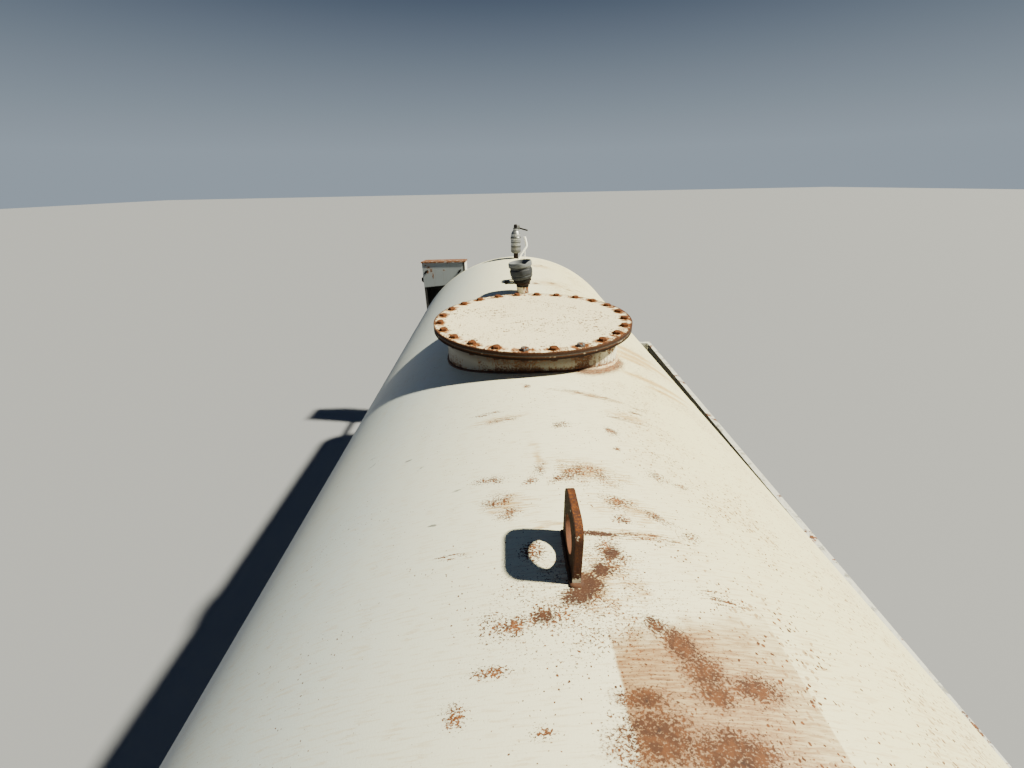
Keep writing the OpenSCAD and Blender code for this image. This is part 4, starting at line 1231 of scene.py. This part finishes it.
def round_shell(y, sunk, start=0.0, end=360.0, steps=240):
    """Points on a circle round the shell at y, from one angle to another, 0 at the top."""
    radius = SHELL_R - sunk
    points = []
    for i in range(steps + 1):
        turn = math.radians(start + (end - start) * i / steps)
        points.append(Vector((radius * math.sin(turn), y, AXIS_Z + radius * math.cos(turn))))
    return points


def seam_ring(y):
    """Closed path of a seam round the shell."""
    return round_shell(y, SEAM_SUNK)[:-1], True


def stub_foot(y, radius, sunk=0.001, steps=96):
    """Closed path where an upright pipe meets the shell."""
    points = [
        on_shell(radius * math.cos(turn), y + radius * math.sin(turn), sunk)
        for turn in (2 * math.pi * i / steps for i in range(steps))
    ]
    return points, True


def lug_foot(node):
    """Closed path round a lug's foot on the shell."""
    low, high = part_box(node)
    corners = [(low.x, low.y), (high.x, low.y), (high.x, high.y), (low.x, high.y)]
    points = []
    for (x, y), (next_x, next_y) in zip(corners, corners[1:] + corners[:1]):
        points += [on_shell(x + (next_x - x) * i / 4, y + (next_y - y) * i / 4, 0.001) for i in range(4)]
    return points, True


def shell_seams():
    """Seams between the courses and the dished ends, and one along each course."""
    courses = ["near_end_course", "near_course", "far_course", "far_end_course"]
    paths = [seam_ring(low_corner(node).y) for node in courses]
    paths.append(seam_ring(high_corner(courses[-1]).y))
    for turn, node in zip(LONG_SEAMS, courses):
        low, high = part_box(node)
        start, end = (round_shell(y, SEAM_SUNK, turn, turn, 1)[0] for y in (low.y, high.y))
        paths.append(([start.lerp(end, i / 12) for i in range(13)], False))
    return paths


def saddle_welds():
    """Beads round the wear plates and along both edges of the webs, above and below."""
    paths = []
    for side in ("near", "far"):
        plate_low, plate_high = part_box(side + "_wear_plate")
        web_low, web_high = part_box(side + "_saddle_web")
        foot_top = high_corner(side + "_saddle_foot").z
        lap = 180 - WEAR_LAP_ANGLE
        rim = round_shell(plate_low.y, -0.001, lap, 360 - lap, 60)
        back = round_shell(plate_high.y, -0.001, 360 - lap, lap, 60)
        paths.append((rim + back, True))
        for edge_y in (web_low.y, web_high.y):
            cradle = 180 - CRADLE_ANGLE
            paths.append((round_shell(edge_y, -0.009, cradle, 360 - cradle, 60), False))
            start = Vector((web_low.x + 0.01, edge_y, foot_top))
            end = Vector((web_high.x - 0.01, edge_y, foot_top))
            paths.append(([start.lerp(end, i / 20) for i in range(21)], False))
    return paths


def neck_under_flange():
    """Closed path where the neck meets the flange."""
    ring = circle(NECK_R, FLANGE_LOW, 96, Matrix.Translation((0, COVER_MID.y, 0)))
    return ring, True


def manway_bolts():
    """The ring of bolts that clamps the cover."""
    bolt_data = bpy.data.meshes.new("bolt")
    mesh = bolt_mesh()
    bmesh.ops.recalc_face_normals(mesh, faces=mesh.faces)
    mesh.to_mesh(bolt_data)
    mesh.free()
    bolt = bpy.data.objects.new("bolt", bolt_data)
    grown(
        "manway_bolts", bolt_ring_tree(), bpy.data.meshes.new("manway_bolts"), "rusted_steel",
        bolt=bolt, count=BOLT_COUNT, circle_radius=BOLT_CIRCLE_R,
        middle=(0, COVER_MID.y, COVER_TOP), seed=7, finish=BOLT_RUST,
    )
    bpy.data.objects.remove(bolt)


def weld(bead, name, paths, radius, spacing, finish, slot, rough=1.0):
    """Lays a bead along paths; rough scales its ripple and its lumps."""
    grown(
        name, bead, path_mesh(name, paths), slot,
        radius=radius, spacing=spacing, ripple=0.14 * rough, lumps=0.5 * rough, finish=finish,
    )


def welds():
    """All weld beads, by what they join."""
    bead = weld_bead_tree()
    shell = FINISHES["shell_paint"]
    neck_foot = [stub_foot(COVER_MID.y, NECK_R)]
    lug_feet = [lug_foot("near_lug"), lug_foot("far_lug")]
    pipe_feet = [
        stub_foot(middle(node).y, (high_corner(node).x - low_corner(node).x) / 2)
        for node in ("fill_pipe", "relief_pipe")
    ]
    weld(bead, "shell_welds", shell_seams(), SEAM_R, 0.005, shell, "shell_paint", 0.1)
    weld(bead, "neck_weld", neck_foot, 0.0065, 0.003, NECK_WELD, "neck_paint")
    weld(bead, "flange_weld", [neck_under_flange()], 0.004, 0.003, WELD_RUSTY, "neck_paint")
    weld(bead, "lug_welds", lug_feet, 0.0055, 0.0025, WELD_RUSTY, "lug_rust")
    weld(bead, "fitting_welds", pipe_feet, 0.004, 0.002, WELD_RUSTY, "pipe_paint")
    weld(bead, "saddle_welds", saddle_welds(), 0.005, 0.0045, WELD_CREAM, "saddle_paint")


def cup_outline():
    """Half section of the cup: up its grooved outside, over the lip and down inside."""
    inner_r = CUP_R - CUP_WALL
    plug = [(0, 0), (PLUG_R, 0), (PLUG_R, RING_H)]
    underside = [(CUP_R - 0.010, RING_H), (CUP_R - 0.007, RING_H + 0.002)]
    body = [
        (CUP_R - 0.002, 0.17),
        (CUP_R - 0.004, 0.20),
        (CUP_R - 0.004, 0.24),
        (CUP_R - 0.001, 0.27),
        (CUP_R, 0.54),
        (CUP_R - 0.004, 0.58),
        (CUP_R - 0.004, 0.68),
        (CUP_R + 0.002, 0.74),
        (CUP_R + 0.002, 0.92),
        (CUP_R, 1),
        (inner_r + 0.002, 1),
        (inner_r - 0.004, 0.74),
        (inner_r - 0.006, 0.24),
    ]
    inner_floor = [(inner_r - 0.014, RING_H + CUP_WALL), (0, RING_H + CUP_WALL)]
    wall = [(radius, RING_H + CUP_H * share) for radius, share in body]
    return plug + underside + wall + inner_floor


def notch_drop(turn, height):
    """How far the cup's lip is drawn down: most at the notch's middle, none below the lip."""
    off = (math.degrees(turn) - NOTCH_TURN + 180) % 360 - 180
    dip = max(0, 1 - abs(off) / NOTCH_HALF_ANGLE)
    share = max(0, (height - RING_H - CUP_H * 0.7) / (CUP_H * 0.3))
    return NOTCH_DEPTH * dip**1.3 * share


def fill_cup():
    """Open cup with a grooved body and a wide lip that is drawn down at the notch."""
    seat = Vector((0, middle("fill_pipe").y, high_corner("fill_collar").z + CUP_SEAT))
    place = Matrix.Translation(seat) @ Matrix.Rotation(math.radians(CUP_LEAN), 4, "Y")
    turns = [2 * math.pi * i / CUP_SIDES for i in range(CUP_SIDES)]
    rings = []
    for radius, height in rounded(cup_outline(), 0.002):
        heights = [height - notch_drop(turn, height) for turn in turns]
        rings.append([
            place @ Vector((radius * math.cos(turn), radius * math.sin(turn), lowered))
            for turn, lowered in zip(turns, heights)
        ])
    mesh = bmesh.new()
    loft(mesh, rings)
    piece("open_cup", mesh, FINISHES["grey_cup"], "grey_cup", "fill_cup")


def drip_point(t):
    """Point on the drip tube's path and its direction there."""
    a, b, c, d = (Vector(guide) for guide in DRIP_GUIDES)
    foot = Vector((middle("relief_pipe").x, middle("relief_pipe").y, TOP_Z))
    spot = a * (1 - t) ** 3 + b * 3 * t * (1 - t) ** 2 + c * 3 * t**2 * (1 - t) + d * t**3
    along = (b - a) * (1 - t) ** 2 + (c - b) * 2 * t * (1 - t) + (d - c) * t**2
    return foot + spot, along.normalized()


def drip_ring(t, radius, sides=20):
    """Points round the drip tube's path."""
    spot, along = drip_point(t)
    side = along.cross(Vector((0, 1, 0))).normalized()
    up = side.cross(along)
    return [
        spot + radius * (math.cos(turn) * side + math.sin(turn) * up)
        for turn in (2 * math.pi * i / sides for i in range(sides))
    ]


def drip_tube():
    """Smooth bent tube, open at its upper end, on a thin rod."""
    steps = 48
    mesh = bmesh.new()
    outer = [drip_ring(i / steps, DRIP_R) for i in range(steps + 1)]
    lip = [drip_ring(-0.004, DRIP_R - DRIP_WALL * 0.5)]
    inner = [drip_ring(i / steps, DRIP_R - DRIP_WALL) for i in range(steps, -1, -1)]
    loft(mesh, outer + inner + lip, closed=True)
    top, _ = drip_point(DRIP_ROD_AT)
    foot = on_shell(top.x, top.y, 0.004)
    rod = Matrix.Translation((top.x, top.y, 0))
    loft(mesh, [circle(DRIP_ROD_R, height, 16, rod) for height in (foot.z, top.z)])
    piece("drip_pipe", mesh, FINISHES["white_tube"], "white_tube", "drip_tube")


def photo_camera():
    """Camera with the photograph's place, tilt, roll and focal length."""
    centre = PHOTO_SIZE / 2
    offset = (SHELL_VANISHES_AT - centre) / FOCAL_PX
    along = Vector((offset.x, -offset.y, 1)).normalized()
    level = Vector((math.sin(CAMERA_ROLL), math.cos(CAMERA_ROLL), 0))
    rise = (level - level.dot(along) * along).normalized()
    across = -along.cross(rise)
    if across.x < 0:
        across = -across
    right, up, forward = ((across[i], along[i], rise[i]) for i in range(3))
    turn = Matrix((right, up, [-value for value in forward])).transposed()

    data = bpy.data.cameras.new("photo_camera")
    data.sensor_width = 36
    data.lens = data.sensor_width * FOCAL_PX / PHOTO_SIZE.x
    data.clip_start = 0.02
    data.clip_end = 400
    camera = bpy.data.objects.new("photo_camera", data)
    bpy.context.collection.objects.link(camera)
    place = Vector((COVER_MID.x, COVER_MID.y, COVER_TOP)) + CAMERA_FROM_COVER
    camera.matrix_world = Matrix.Translation(place) @ turn.to_4x4()
    bpy.context.scene.camera = camera


def studio():
    """Pale floor, a key light from high on the right, and a world that is pale at the horizon and
    dark blue above, so that shadows keep the depth they have outdoors."""
    bpy.ops.mesh.primitive_plane_add(size=160, location=(0, 30, 0))
    floor = bpy.context.object
    floor.name = "studio_floor"
    paint = bpy.data.materials.new("studio_floor")
    paint.use_nodes = True
    shader = paint.node_tree.nodes["Principled BSDF"]
    shader.inputs["Base Color"].default_value = (*FLOOR_TINT, 1)
    shader.inputs["Roughness"].default_value = 0.9
    floor.data.materials.append(paint)

    world = bpy.data.worlds.new("studio")
    bpy.context.scene.world = world
    world.use_nodes = True
    sky = Tree(world.node_tree)
    direction = sky.node("ShaderNodeTexCoord", out="Generated")
    height = sky.node("ShaderNodeSeparateXYZ", sockets={0: direction}, out=2)
    share = sky.node("ShaderNodeMapRange", sockets={0: height, 1: 0.06, 2: 0.34, 3: 0.0, 4: 1.0})
    tone = sky.node("ShaderNodeMix", {"data_type": "RGBA"}, {0: share, 6: HORIZON, 7: HIGH_SKY}, out=2)
    sky.feed(world.node_tree.nodes["Background"].inputs["Color"], tone)

    key = bpy.data.lights.new("key_light", "SUN")
    key.energy = KEY_STRENGTH
    key.angle = math.radians(2.5)
    key.color = KEY_TINT
    lamp = bpy.data.objects.new("key_light", key)
    lamp.rotation_euler = KEY_COMES_FROM.to_track_quat("Z", "Y").to_euler()
    bpy.context.collection.objects.link(lamp)


photo_camera()
studio()
dress_nodes()
manway_bolts()
welds()
fill_cup()
drip_tube()
